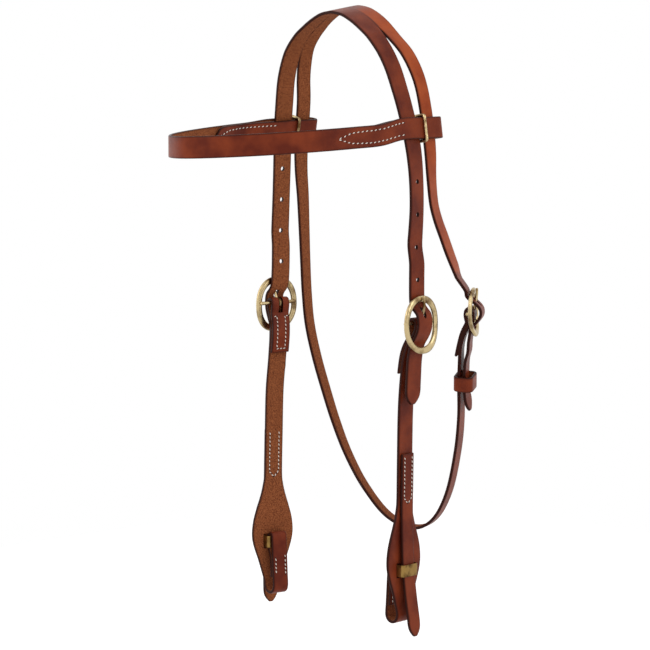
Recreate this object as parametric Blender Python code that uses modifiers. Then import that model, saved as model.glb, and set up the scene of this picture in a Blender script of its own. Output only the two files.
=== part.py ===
# Western headstall: one-piece crown with throat strap, browband, and two cheekpieces with
# quick-change bit ends, as it hangs from the poll.
# Row frame: +X is the horse's near side, -Y is forward, +Z is up, and the origin is the
# middle of the crownpiece's underside. All lengths are metres.

import math

import bmesh
import bpy
from mathutils import Matrix, Vector

for old_object in list(bpy.data.objects):
    bpy.data.objects.remove(old_object, do_unlink=True)

# Leather
leather_thickness = 0.0026
strap_half_width = 0.009
throat_half_width = 0.007
tip_length = 0.0115
hole_radius = 0.0017
hole_pitch = 0.0266
free_hole_count = 4
hole_sides = 12
hole_cut_reach = 0.02

# Fits
gap = 0.0003
browband_play = 0.0013
browband_rear_play = 0.002
keeper_play = 0.0008
bar_play = 0.0005
clip_play = 0.0005

# Every point of the crown's and throat strap's paths is a share of this length
form_length = 0.1

# Buckles: flat oval rings, each with a dropped bar across the middle and a tongue
bar_radius = 0.0016
bar_sides = 13
ring_half_height = 0.0239
ring_half_width = 0.0211
ring_band_half = 0.0033
throat_ring_half_height = 0.0205
throat_ring_half_width = 0.0172
throat_ring_band_half = 0.0029
ring_half_thickness = 0.00175
ring_lift = 0.0024
ring_heel_rise = 0.0028
ring_drop = 0.0015
ring_post_radius = 0.0018
ring_steps = 40
ring_section_steps = 10
tongue_radius = 0.0012
tongue_tip_radius = 0.0009
tongue_steps = 20
tongue_sides = 8
cheek_hole_half_length = 0.0045
throat_hole_half_length = 0.0054
slot_half_width = 0.0022
slot_depth = 0.0085
billet_arch = 0.004
throat_billet_arch = 0.0075

# Cheekpiece below its buckle bar
cheek_length = 0.25
near_lean = 0.0094
far_lean = 0.0122
cheek_inset = 0.00945
cheek_fold_back = 0.042
paddle_half_width = 0.021
return_half_width = 0.0076
bit_loop_radius = 0.0061
bit_loop_drop_share = 0.97
return_end_drop_share = 0.94

# Brass clip through the paddle, and the tab that locks it
clip_half_width = 0.00925
clip_half_height = 0.005
clip_strip = 0.0012
clip_corner = 0.0022
clip_drop_share = 0.818
clip_inner_reach = 0.00735
clip_outer_reach = 0.00775
window_half_width = 0.0107
window_half_height = 0.0062
tab_half_width = 0.0072
tab_top_share = 0.432
tab_length_share = 0.61
tab_lift = 0.00625
tab_drift = 0.0045

# Throat keeper
keeper_drop = 0.059
keeper_half_height = 0.0065
keeper_slack = 0.0034
keeper_thickness = 0.0022
keeper_corner = 0.0022

# Browband and its wire loops
browband_half_height = 0.0089
browband_half_span = 0.084
browband_reach = 0.172
browband_setback = 0.005
browband_drop_share = 0.985
browband_droop = 0.0085
near_droop_power = 0.55
browband_roll = 0.0032
browband_lead = 0.0125
wire_radius = 0.0013
wire_corner = 0.0019

# Steps along the smooth lines
path_steps = 3
profile_steps = 2
corner_steps = 3
fold_back_steps = 9

leather_tone = (0.19, 0.055, 0.03, 1.0)
brass_tone = (0.72, 0.52, 0.2, 1.0)

# Sizes that follow from the ones above
half_thickness = leather_thickness / 2
branch_spacing = strap_half_width + throat_half_width
browband_drop = browband_drop_share * form_length
clip_drop = clip_drop_share * cheek_length
bit_loop_drop = bit_loop_drop_share * cheek_length
return_end_drop = return_end_drop_share * cheek_length
tab_top = tab_top_share * cheek_length
tab_length = tab_length_share * cheek_length
layer_offset = half_thickness + gap / 2
layer_step = leather_thickness + gap
wrap_radius = bar_radius + bar_play + half_thickness
wrap_outside = wrap_radius + half_thickness
billet_rest = layer_offset + layer_step
tongue_loop_radius = bar_radius + gap + tongue_radius
tongue_rise = ring_lift + ring_half_thickness + gap + tongue_radius
browband_spacing = half_thickness + browband_play + half_thickness
wire_half_depth = browband_spacing + half_thickness + gap + wire_radius
wire_half_height = browband_half_height + gap + wire_radius
clip_fold_radius = clip_strip / 2 + clip_play + half_thickness

# Places of the buckle bars, as shares of form_length, and their turns about the upright
near_bar_shares = (0.875, 0.0, -2.533)
far_bar_shares = (0.875, 0.0, -2.505)
near_turn_degrees = -7.0
far_turn_degrees = 6.0
throat_bar_shares = (0.866, 0.6, -2.49)
throat_turn_degrees = -35.0
throat_tilt_degrees = 3.0

# Front half of the crown and the cheek billet below it: across, forward and back, height,
# turns of the near and the far strap in degrees, flare of the arch's rear edge in degrees,
# and how far the two sides stray apart
front_path_shares = (
    (0.0, -0.095, -0.0125, 0.0, 0.0, 8.0, 0.0),
    (0.13, -0.095, -0.0325, 0.0, 0.0, 8.0, 0.0),
    (0.2565, -0.095, -0.087, 0.0, 0.0, 8.0, 0.0),
    (0.369, -0.095, -0.156, 0.0, 0.0, 7.0, 0.0),
    (0.461, -0.095, -0.227, 0.0, 0.0, 4.0, 0.0),
    (0.568, -0.09, -0.347, -1.0, 1.0, 1.0, 0.0),
    (0.643, -0.078, -0.475, -2.0, 1.7, 0.0, 0.002),
    (0.697, -0.066, -0.61, -3.5, 3.0, 0.0, 0.004),
    (0.742, -0.043, -0.78, -5.0, 4.0, 0.0, 0.002),
    (0.785, -0.02, -0.98, -5.0, 4.0, 0.0, 0.0),
    (0.815, -0.002, -1.17, -7.0, 4.0, 0.0, 0.001),
    (0.842, 0.006, -1.38, -11.0, 3.0, 0.0, 0.01),
    (0.862, 0.0035, -1.62, -12.0, 2.5, 0.0, 0.0205),
    (0.872, -0.012, -1.88, -9.0, 4.0, 0.0, 0.033),
)
shared_point_count = 4

# Rear branches below the slit: across, back from where they would lie edge to edge with the
# front strap, height, turn in degrees, half width share
near_rear_path_shares = (
    (0.500, -0.078, -0.24, 0.0, 1.05),
    (0.597, -0.048, -0.345, -1.0, 1.04),
    (0.670, -0.021, -0.475, -2.0, 1.02),
    (0.718, 0.0, -0.61, -4.0, 1.0),
    (0.750, 0.018, -0.78, -5.0, 1.0),
    (0.773, 0.035, -0.98, -5.0, 1.0),
    (0.789, 0.045, -1.17, -9.0, 1.0),
    (0.804, 0.045, -1.38, -18.0, 1.0),
    (0.822, 0.055, -1.58, -21.0, 1.0),
    (0.838, 0.088, -1.72, -21.0, 1.0),
    (0.85, 0.14, -1.85, -21.0, 1.0),
    (0.855, 0.203, -1.99, -22.0, 1.0),
    (0.855, 0.276, -2.13, -26.0, 1.0),
)
far_rear_path_shares = (
    (-0.505, -0.088, -0.24, 0.0, 1.05),
    (-0.6, -0.07, -0.345, 0.5, 1.04),
    (-0.662, -0.044, -0.475, 1.5, 1.02),
    (-0.702, -0.02, -0.61, 2.0, 1.0),
    (-0.738, 0.014, -0.78, 3.0, 1.0),
    (-0.774, 0.032, -0.98, 3.5, 1.0),
    (-0.809, 0.047, -1.17, 2.5, 1.0),
    (-0.835, 0.07, -1.38, -3.0, 1.0),
    (-0.852, 0.105, -1.62, -8.0, 1.0),
    (-0.87, 0.135, -1.9, -13.0, 1.0),
    (-0.88, 0.157, -2.18, -16.0, 1.0),
    (-0.87, 0.165, -2.46, -17.0, 1.0),
    (-0.84, 0.173, -2.73, -18.0, 1.0),
    (-0.78, 0.2, -3.01, -19.0, 1.0),
    (-0.70, 0.235, -3.29, -20.0, 1.0),
    (-0.60, 0.26, -3.56, -22.0, 1.0),
    (-0.475, 0.29, -3.83, -25.0, 1.0),
    (-0.31, 0.34, -4.1, -28.0, 1.0),
    (-0.11, 0.43, -4.34, -28.0, 1.0),
    (0.10, 0.545, -4.43, -27.0, 1.0),
    (0.28, 0.605, -4.34, -26.0, 1.0),
    (0.45, 0.605, -4.09, -26.0, 1.0),
    (0.60, 0.56, -3.72, -26.0, 1.0),
    (0.70, 0.5, -3.4, -27.0, 1.0),
    (0.75, 0.445, -3.11, -30.0, 1.0),
    (0.79, 0.41, -2.86, -33.0, 1.0),
)

# Billets over their buckles, from above to the tail: height as a share of the ring's half
# height, sideways as a share of the half width, rise as a share of the billet's arch, and
# forward lean as a share of the half width
cheek_billet_shares = (
    (1.95, -0.34, -1.04, 0.0),
    (1.39, -0.27, -1.2, 0.0),
    (1.04, -0.19, -1.34, 0.0),
    (0.85, -0.14, -1.4, 0.0),
    (0.71, -0.1, -1.4, 0.0),
    (0.59, -0.06, -1.24, 0.0),
    (0.48, -0.03, -0.82, 0.0),
    (0.37, 0.0, -0.17, 0.0),
    (0.27, 0.0, 0.23, 0.0),
    (0.12, 0.0, 0.45, 0.0),
    (-0.04, 0.0, 0.48, 0.0),
    (-0.2, 0.0, 0.37, 0.0),
    (-0.35, 0.0, 0.08, 0.02),
    (-0.47, 0.0, -0.27, 0.05),
    (-0.58, 0.0, -0.6, 0.1),
    (-0.71, 0.0, -1.05, 0.16),
    (-0.9, 0.0, -1.37, 0.24),
    (-1.3, 0.0, -1.5, 0.42),
    (-1.8, 0.0, -1.36, 0.6),
    (-2.3, 0.0, -1.21, 0.76),
    (-2.8, 0.0, -1.09, 0.9),
)
throat_billet_shares = (
    (1.37, -1.04, -1.58, 0.0),
    (1.0, -0.6, -0.98, 0.0),
    (0.84, -0.4, -0.85, 0.0),
    (0.7, -0.25, -0.82, 0.0),
    (0.55, -0.12, -0.48, 0.0),
    (0.38, -0.05, 0.17, 0.0),
    (0.15, 0.0, 0.67, 0.0),
    (-0.12, 0.0, 0.7, 0.0),
    (-0.35, 0.0, 0.3, 0.0),
    (-0.55, 0.0, -0.19, 0.0),
    (-0.7, 0.0, -0.44, 0.0),
    (-0.85, 0.0, -0.5, 0.0),
)

# Tail of the throat billet beside the long strap: drop below the bar as a share of
# form_length, and its stand-off as a share of one layer's step
throat_tail_shares = (
    (-0.24, 1.45),
    (-0.31, 2.0),
    (-0.4, 1.75),
    (-0.5, 1.6),
    (-0.6, 1.6),
    (-0.69, 1.75),
    (-0.835, 2.7),
)
keeper_stand_off_share = 1.6
far_tail_lean_share = 0.3
cheek_hole_share = 0.35
throat_hole_share = 0.52
first_hole_share = 0.37

# A strap folded round a bar: height and rise as shares of the wrap radius, from the outer
# layer above its stitches over the bar to the inner layer
wrap_shares = (
    (-1.55, 0.84),
    (-0.45, 0.99),
    (0.71, 0.71),
    (1.0, 0.0),
    (0.71, -0.71),
    (-0.45, -0.99),
    (-1.55, -0.84),
)
fold_meet_share = 2.45
fold_inner_share = 1.65
fold_back_share = 1.08
throat_fold_back_shares = (
    (-0.15, -1.15),
    (-0.21, -1.3),
    (-0.285, -1.2),
    (-0.36, -1.05),
)
throat_fold_start_share = 0.125
throat_fold_dip_share = 0.027

# Cheekpiece: drop as a share of its length, forward lean as a share of the whole lean,
# inset as a share of the whole inset, and width between the strap's and the paddle's
cheek_shares = (
    (0.048, 0.04, 0.2, 0.0),
    (0.06, 0.09, 0.38, 0.0),
    (0.08, 0.2, 0.64, 0.0),
    (0.12, 0.36, 0.88, 0.0),
    (0.2, 0.58, 0.99, 0.0),
    (0.3, 0.78, 1.0, 0.0),
    (0.44, 0.86, 1.0, 0.0),
    (0.58, 0.92, 1.0, 0.0),
    (0.62, 0.94, 1.0, 0.087),
    (0.66, 0.95, 1.0, 0.304),
    (0.7, 0.97, 1.0, 0.609),
    (0.74, 0.98, 1.0, 0.878),
    (0.78, 0.99, 1.0, 1.0),
    (0.812, 1.0, 1.0, 0.957),
    (0.844, 1.0, 1.0, 0.765),
    (0.88, 1.0, 1.0, 0.478),
    (0.92, 1.0, 1.0, 0.2),
    (0.955, 1.0, 1.0, -0.026),
)
curl_width_share = 0.92

# Half a turn in steps, and the steps up behind the clip and down to the sewn end
half_turn_degrees = (0.0, 45.0, 90.0, 135.0, 180.0)
return_shares = (0.2, 0.45, 0.7, 0.85)
sewn_end_shares = (0.35, 0.7, 1.0)

# Locking tab: drop as a share of its length, lift from the paddle as a share of its own,
# and backward drift as a share of the whole drift
tab_shares = (
    (0.0, 0.0, 0.0),
    (0.15, 0.0, 0.0),
    (0.29, 0.0, 0.0),
    (0.44, 0.1, 0.0),
    (0.54, 0.2, 0.0),
    (0.63, 0.3, 0.08),
    (0.77, 0.52, 0.4),
    (0.9, 0.81, 0.78),
    (1.0, 1.0, 1.0),
)

# Tips: place along the tip and width
tip_shares = ((0.0, 1.0), (0.35, 0.93), (0.62, 0.74), (0.85, 0.45), (1.0, 0.22))

# Tongue shanks: rise as a share of the tongue's rise, height of the ring's half height
cheek_shank_shares = ((0.42, 0.08), (0.5, 0.17), (0.74, 0.32), (0.93, 0.46),
                      (1.0, 0.62), (1.0, 0.9))
throat_shank_shares = ((0.55, 0.02), (0.66, 0.244), (0.82, 0.488), (0.96, 0.683),
                       (1.0, 0.805), (1.0, 0.94))

# How square the oval of a ring is
ring_power_share = 0.8

# Browband in front of the cheeks: angles in degrees from the cheek to the middle, and the
# inner flap's angles with its distance from the outer layer as a share of a layer's step
front_angles = (11.0, 20.0, 30.0, 42.0, 55.0, 68.0, 79.0, 90.0)
flap_shares = ((13.0, 1.42), (19.5, 1.06), (26.5, 1.0))

part_collection = bpy.data.collections.new("western_headstall")
bpy.context.scene.collection.children.link(part_collection)
cutter_collection = bpy.data.collections.new("headstall_cutters")
bpy.context.scene.collection.children.link(cutter_collection)


def make_material(name, tone, metallic, roughness):
    material = bpy.data.materials.new(name)
    material.use_nodes = True
    shader = material.node_tree.nodes["Principled BSDF"]
    shader.inputs["Base Color"].default_value = tone
    shader.inputs["Metallic"].default_value = metallic
    shader.inputs["Roughness"].default_value = roughness
    return material


leather = make_material("leather", leather_tone, 0.0, 0.5)
brass = make_material("brass", brass_tone, 1.0, 0.3)


def add_object(name, data, material):
    created = bpy.data.objects.new(name, data)
    part_collection.objects.link(created)
    data.materials.append(material)
    return created


# A tool for a cut or a union, hung on the piece that it shapes
def add_tool(name, mesh, target, operation):
    tool = bpy.data.objects.new(name, mesh)
    cutter_collection.objects.link(tool)
    tool.hide_render = True
    tool.display_type = "WIRE"
    tool.parent = target
    shaping = target.modifiers.new(name, "BOOLEAN")
    shaping.operation = operation
    shaping.solver = "EXACT"
    shaping.object = tool


# Smooth line through control points of any number of values
def smooth_points(points, cuts):
    dense = []
    last = len(points) - 1
    for index in range(last):
        before = points[max(index - 1, 0)]
        after = points[min(index + 2, last)]
        for cut in range(cuts):
            t = cut / cuts
            weights = (
                -0.5 * t + t * t - 0.5 * t ** 3,
                1 - 2.5 * t * t + 1.5 * t ** 3,
                0.5 * t + 2 * t * t - 1.5 * t ** 3,
                -0.5 * t * t + 0.5 * t ** 3,
            )
            row = []
            for values in zip(before, points[index], points[index + 1], after):
                row.append(sum(weight * value for weight, value in zip(weights, values)))
            dense.append(tuple(row))
    dense.append(tuple(points[last]))
    return dense


# A frame at a buckle bar: u along the bar, v up the strap, n out from the horse
def bar_frame(place_shares, side, turn_degrees, tilt_degrees):
    place = Vector(place_shares) * form_length
    place.x *= side
    turn = math.radians(turn_degrees)
    along = Vector((math.sin(turn), math.cos(turn), 0.0)) * side
    up = Vector((0.0, 0.0, 1.0))
    outward = along.cross(up)
    axes = Matrix((along, up, outward)).transposed()
    tilt = Matrix.Rotation(math.radians(tilt_degrees), 3, outward)
    return place, tilt @ axes


near_frame = bar_frame(near_bar_shares, 1.0, near_turn_degrees, 0.0)
far_frame = bar_frame(far_bar_shares, -1.0, far_turn_degrees, 0.0)
throat_frame = bar_frame(throat_bar_shares, 1.0, throat_turn_degrees, throat_tilt_degrees)


def to_world(frame, u, v, n):
    place, axes = frame
    return place + axes @ Vector((u, v, n))


# A strap is a list of rows, each a centre and a half width across; its control points
# hold both as six numbers
def control_point(centre, across):
    return (centre.x, centre.y, centre.z, across.x, across.y, across.z)


def smooth_rows(control, cuts):
    return [(Vector(row[0:3]), Vector(row[3:6])) for row in smooth_points(control, cuts)]


# Control points given in a bar frame: (u, v, n, half width)
def frame_control(frame, points):
    control = []
    for u, v, n, half in points:
        across = frame[1] @ Vector((half, 0.0, 0.0))
        control.append(control_point(to_world(frame, u, v, n), across))
    return control


# Rows of a path given as (x, y, z, turn, half width, flare): the turn is about the upright,
# and the flare lifts the rear edge away from the head
def path_rows(points):
    dense = smooth_points(points, path_steps)
    centres = [Vector(row[0:3]) for row in dense]
    rows = []
    last = len(dense) - 1
    for index, row in enumerate(dense):
        run = centres[min(index + 1, last)] - centres[max(index - 1, 0)]
        run.normalize()
        turn = math.radians(row[3])
        across = Vector((math.sin(turn), math.cos(turn), 0.0))
        across -= run * across.dot(run)
        across.normalize()
        outward = across.cross(run)
        away = Vector((row[0], 0.0, row[2] + form_length))
        if outward.dot(away) < 0:
            outward = -outward
        flare = math.radians(row[5])
        across = across * math.cos(flare) + outward * math.sin(flare)
        rows.append((centres[index], across * row[4]))
    return rows


# Centre, half width across and upward run of a strap where it passes a height
def spot_at(rows, height):
    for here, there in zip(rows, rows[1:]):
        low, high = sorted((here[0].z, there[0].z))
        if low <= height <= high:
            t = (height - here[0].z) / (there[0].z - here[0].z)
            run = (there[0] - here[0]).normalized()
            if run.z < 0:
                run = -run
            return here[0].lerp(there[0], t), here[1].lerp(there[1], t), run
    return rows[-1][0], rows[-1][1], Vector((0.0, 0.0, 1.0))


def add_ribbon(builder, rows, closed):
    pairs = []
    for centre, across in rows:
        pairs.append((builder.verts.new(centre - across), builder.verts.new(centre + across)))
    count = len(pairs)
    for index in range(count if closed else count - 1):
        here = pairs[index]
        there = pairs[(index + 1) % count]
        builder.faces.new((here[0], here[1], there[1], there[0]))
    return pairs


def finish_mesh(builder, name):
    mesh = bpy.data.meshes.new(name)
    builder.to_mesh(mesh)
    builder.free()
    return mesh


def thicken(target, thickness):
    shell = target.modifiers.new("thickness", "SOLIDIFY")
    shell.thickness = thickness
    shell.offset = 0.0
    shell.use_even_offset = True


def add_strap(name, rows, thickness, material, closed):
    builder = bmesh.new()
    add_ribbon(builder, rows, closed)
    strap = add_object(name, finish_mesh(builder, name), material)
    thicken(strap, thickness)
    return strap


# The last tip_length of a strap narrows to a rounded point
def add_tip(control):
    last = control[-1]
    end = Vector(last[0:3])
    across = Vector(last[3:6])
    step = (end - Vector(control[-2][0:3])).normalized()
    tipped = list(control[:-1])
    for along, share in tip_shares:
        tipped.append(control_point(end + step * (along - 1.0) * tip_length, across * share))
    return tipped


# A rounded rectangle as points (a, b) about its middle
def rounded_loop(half_a, half_b, corner):
    loop = []
    quarter = math.pi / 2
    for index, (sign_a, sign_b) in enumerate(((1, 1), (-1, 1), (-1, -1), (1, -1))):
        for cut in range(corner_steps + 1):
            angle = quarter * (index + cut / corner_steps)
            loop.append((sign_a * (half_a - corner) + corner * math.cos(angle),
                         sign_b * (half_b - corner) + corner * math.sin(angle)))
    return loop


# A rod between two points, stretched along one axis by a factor
def rod_mesh(name, start, end, radius, sides, stretch_axis=None, stretch=1.0):
    builder = bmesh.new()
    span = end - start
    bmesh.ops.create_cone(
        builder, cap_ends=True, cap_tris=False, segments=sides,
        radius1=radius, radius2=radius, depth=span.length,
    )
    turn = span.to_track_quat("Z", "Y").to_matrix().to_4x4()
    bmesh.ops.transform(builder, matrix=turn, verts=builder.verts)
    if stretch_axis is not None:
        for vertex in builder.verts:
            vertex.co += stretch_axis * vertex.co.dot(stretch_axis) * (stretch - 1.0)
    bmesh.ops.translate(builder, vec=(start + end) / 2, verts=builder.verts)
    return finish_mesh(builder, name)


# A box in a bar frame, from its low corner to its high corner
def box_mesh(name, frame, low, high):
    builder = bmesh.new()
    bmesh.ops.create_cube(builder, size=1.0)
    middle = (Vector(low) + Vector(high)) / 2
    size = Vector(high) - Vector(low)
    for vertex in builder.verts:
        spot = Vector(side * length for side, length in zip(vertex.co, size)) + middle
        vertex.co = to_world(frame, spot.x, spot.y, spot.z)
    return finish_mesh(builder, name)


# A torus whose tube radius is half its own: its vertices are then moved into shape
def torus_mesh(name, round_steps, section_steps):
    bpy.ops.mesh.primitive_torus_add(
        major_segments=round_steps, minor_segments=section_steps,
        major_radius=1.0, minor_radius=0.5,
    )
    primitive = bpy.context.object
    mesh = primitive.data
    mesh.name = name
    bpy.data.objects.remove(primitive)
    return mesh


# Round and section coordinates of a torus vertex: direction, out from the line, and up
def torus_place(vertex):
    x, y, z = vertex.co
    reach = math.hypot(x, y)
    return x / reach, y / reach, (reach - 1.0) * 2, z * 2


def tube_curve(name, points, radius, shares, closed):
    curve = bpy.data.curves.new(name, "CURVE")
    curve.dimensions = "3D"
    curve.bevel_depth = radius
    curve.bevel_resolution = 2
    curve.use_fill_caps = not closed
    spline = curve.splines.new("POLY")
    spline.points.add(len(points) - 1)
    for target, point, share in zip(spline.points, points, shares):
        target.co = (point.x, point.y, point.z, 1.0)
        target.radius = share
    spline.use_cyclic_u = closed
    return curve


# A curve's tube as a closed mesh that can be joined to another
def tube_mesh(name, curve):
    holder = bpy.data.objects.new(name, curve)
    bpy.context.scene.collection.objects.link(holder)
    depsgraph = bpy.context.evaluated_depsgraph_get()
    mesh = bpy.data.meshes.new_from_object(holder.evaluated_get(depsgraph))
    bpy.data.objects.remove(holder)
    builder = bmesh.new()
    builder.from_mesh(mesh)
    bmesh.ops.remove_doubles(builder, verts=builder.verts, dist=gap / 10)
    bmesh.ops.recalc_face_normals(builder, faces=builder.faces)
    builder.to_mesh(mesh)
    builder.free()
    return mesh


# An empty on a joint's axis, and the pieces that turn with it
def add_hinge(name, frame, pieces):
    hinge = bpy.data.objects.new(name, None)
    part_collection.objects.link(hinge)
    place = Matrix.Translation(frame[0]) @ frame[1].to_4x4()
    hinge.matrix_basis = place
    for piece in pieces:
        piece.parent = hinge
        piece.matrix_parent_inverse = place.inverted()


# Crownpiece paths
def front_points(side):
    points = []
    for x, y, z, near_turn, far_turn, flare, stray in front_path_shares:
        turn = near_turn if side > 0 else far_turn
        points.append((side * x * form_length, (y - side * stray) * form_length,
                       z * form_length + half_thickness, turn, strap_half_width, flare))
    return points


# The rear branch starts behind the front one, edge to edge, where the slit ends
def rear_points(side, shares):
    slit_centre, slit_across = front_rows[side][shared_row]
    flare = front_path_shares[shared_point_count - 1][5]
    half = throat_half_width * shares[0][4]
    start = slit_centre + slit_across * (1.0 + half / strap_half_width)
    points = [(start.x, start.y, start.z, 0.0, half, flare)]
    for x, y, z, turn, width_share in shares:
        points.append((x * form_length, y * form_length + branch_spacing,
                       z * form_length + half_thickness, turn,
                       throat_half_width * width_share, 0.0))
    return points


def billet_points(shares, ring_half, half, arch, side):
    points = []
    for height, sideways, rise, lean in shares:
        lean_share = lean if side > 0 else lean * far_tail_lean_share
        points.append(((sideways - side * lean_share) * half, height * ring_half,
                       billet_rest + rise * arch, half))
    return points


# Strap round a bar, from the outer layer below it to the inner layer below it
def wrap_points(half):
    meet = fold_meet_share * wrap_radius
    points = [(0.0, -meet, layer_offset, half)]
    for height, rise in wrap_shares:
        points.append((0.0, height * wrap_radius, rise * wrap_radius, half))
    points.append((0.0, -meet, -layer_offset * fold_inner_share, half))
    return points


# Main layer of the throat strap's fold where it leaves the long strap
def throat_fold_start():
    point = (0.0, -throat_fold_start_share * form_length,
             layer_offset - throat_fold_dip_share * form_length, throat_half_width)
    return frame_control(throat_frame, [point])


front_rows = {1.0: path_rows(front_points(1.0)), -1.0: path_rows(front_points(-1.0))}
shared_row = (shared_point_count - 1) * path_steps
near_rear_rows = path_rows(rear_points(1.0, near_rear_path_shares))
far_rear_rows = path_rows(rear_points(-1.0, far_rear_path_shares))
lowest_index = min(range(len(far_rear_rows)), key=lambda index: far_rear_rows[index][0].z)
rising_rows = far_rear_rows[lowest_index:] + smooth_rows(throat_fold_start(), profile_steps)


# Outward normal of the long strap beside the throat buckle
def throat_normal(across, run):
    normal = across.cross(run).normalized()
    outward = throat_frame[1] @ Vector((0.0, 0.0, 1.0))
    return normal if normal.dot(outward) > 0 else -normal


# Layers beside the long strap: its fold-back inside it, and the billet's tail outside it
def beside_control(shares):
    control = []
    for drop, stand_off in shares:
        centre, across, run = spot_at(rising_rows, throat_frame[0].z + drop * form_length)
        normal = throat_normal(across, run)
        width = across.normalized() * throat_half_width
        control.append(control_point(centre + normal * stand_off * layer_step, width))
    return control


def make_fold_rows():
    control = throat_fold_start()
    control += frame_control(throat_frame, wrap_points(throat_half_width))
    control += beside_control(throat_fold_back_shares)
    return smooth_rows(control, profile_steps)


# A branch that grows from the last pair of the undivided crown
def grow_branch(builder, start_pair, rows):
    low, high = start_pair
    first_centre, first_across = rows[1]
    same = (first_centre - first_across - low.co).length
    turned = (first_centre + first_across - low.co).length
    side = 1.0 if same <= turned else -1.0
    for centre, across in rows[1:]:
        next_low = builder.verts.new(centre - across * side)
        next_high = builder.verts.new(centre + across * side)
        builder.faces.new((low, high, next_high, next_low))
        low, high = next_low, next_high


def cheek_tail_rows(frame, side):
    points = billet_points(cheek_billet_shares, ring_half_height, strap_half_width, billet_arch,
                           side)
    return smooth_rows(add_tip(frame_control(frame, points)), profile_steps)


# The crown: a wide arch of one leather, slit on each side into a cheek billet in front and
# a throat branch behind
def make_crownpiece():
    builder = bmesh.new()
    near_tail = cheek_tail_rows(near_frame, 1.0)
    far_tail = [(centre, -across) for centre, across in cheek_tail_rows(far_frame, -1.0)]
    far_front = list(reversed(front_rows[-1.0]))
    front = list(reversed(far_tail)) + far_front + front_rows[1.0][1:] + near_tail
    front_pairs = add_ribbon(builder, front, False)
    middle = len(far_tail) + len(far_front) - 1
    rear_share = throat_half_width * near_rear_path_shares[0][4] / strap_half_width

    rear_edge = []
    for index in range(middle - shared_row, middle + shared_row + 1):
        outer_edge, inner = front_pairs[index]
        reach = (inner.co - outer_edge.co) * rear_share
        rear_edge.append((inner, builder.verts.new(inner.co + reach)))
    for here, there in zip(rear_edge, rear_edge[1:]):
        builder.faces.new((here[0], here[1], there[1], there[0]))

    billet = billet_points(throat_billet_shares, throat_ring_half_height, throat_half_width,
                           throat_billet_arch, 1.0)
    tail = frame_control(throat_frame, billet) + beside_control(throat_tail_shares)
    near_branch = near_rear_rows + smooth_rows(add_tip(tail), profile_steps)
    grow_branch(builder, rear_edge[-1], near_branch)
    grow_branch(builder, rear_edge[0], far_rear_rows + make_fold_rows())
    bmesh.ops.recalc_face_normals(builder, faces=builder.faces)

    crown = add_object("crownpiece", finish_mesh(builder, "crownpiece"), leather)
    thicken(crown, leather_thickness)
    for side_name, side, frame in (("near", 1.0, near_frame), ("far", -1.0, far_frame)):
        cut_free_holes(crown, side_name, front_rows[side] + cheek_tail_rows(frame, side), frame)
        cut_tongue_hole(crown, side_name, frame, cheek_hole_share * ring_half_height,
                        cheek_hole_half_length)
    cut_tongue_hole(crown, "throat", throat_frame, throat_hole_share * throat_ring_half_height,
                    throat_hole_half_length)
    cut_tongue_slot(crown, "throat", throat_frame)
    return crown


# Round holes up the middle of a cheek billet
def cut_free_holes(crown, side_name, rows, frame):
    first = frame[0].z + first_hole_share * ring_half_height
    for index in range(1, free_hole_count + 1):
        centre, across, run = spot_at(rows, first + index * hole_pitch)
        normal = across.cross(run).normalized() * hole_cut_reach / 2
        name = side_name + "_billet_hole_" + str(index)
        mesh = rod_mesh(name, centre - normal, centre + normal, hole_radius, hole_sides)
        add_tool(name, mesh, crown, "DIFFERENCE")


# The hole that a tongue passes through is pulled long by it
def cut_tongue_hole(target, side_name, frame, level, half_length):
    start = to_world(frame, 0.0, level, 0.0)
    end = to_world(frame, 0.0, level, hole_cut_reach)
    up = frame[1] @ Vector((0.0, 1.0, 0.0))
    name = side_name + "_tongue_hole"
    mesh = rod_mesh(name, start, end, hole_radius, hole_sides, up, half_length / hole_radius)
    add_tool(name, mesh, target, "DIFFERENCE")


def cut_tongue_slot(target, side_name, frame):
    name = side_name + "_tongue_slot"
    reach = wrap_outside + gap
    mesh = box_mesh(name, frame, (-slot_half_width, -slot_depth, -reach),
                    (slot_half_width, reach, reach))
    add_tool(name, mesh, target, "DIFFERENCE")


# A flat oval ring, and a bar that hangs below it between two posts
def make_buckle(name, frame, half_width, half_height, band_half, drop):
    mesh = torus_mesh(name, ring_steps, ring_section_steps)
    for vertex in mesh.vertices:
        turned_u, turned_v, out, lift = torus_place(vertex)
        squared_u = math.copysign(abs(turned_u) ** ring_power_share, turned_u)
        squared_v = math.copysign(abs(turned_v) ** ring_power_share, turned_v)
        u = squared_u * (half_width - band_half + band_half * out)
        v = squared_v * (half_height - band_half + band_half * out)
        n = ring_lift + ring_half_thickness * lift + ring_heel_rise * max(-v / half_height, 0.0)
        vertex.co = to_world(frame, u, v - drop, n)
    buckle = add_object(name, mesh, brass)
    bar_end = half_width - band_half
    rods = (("bar", (-bar_end, 0.0), (bar_end, 0.0), bar_radius),
            ("rear_post", (bar_end, -bar_radius), (bar_end, ring_lift), ring_post_radius),
            ("front_post", (-bar_end, -bar_radius), (-bar_end, ring_lift), ring_post_radius))
    for rod_name, start, end, radius in rods:
        tool_name = name + "_" + rod_name
        tool_mesh = rod_mesh(tool_name, to_world(frame, start[0], 0.0, start[1]),
                             to_world(frame, end[0], 0.0, end[1]), radius, bar_sides)
        add_tool(tool_name, tool_mesh, buckle, "UNION")
    return buckle


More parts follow.
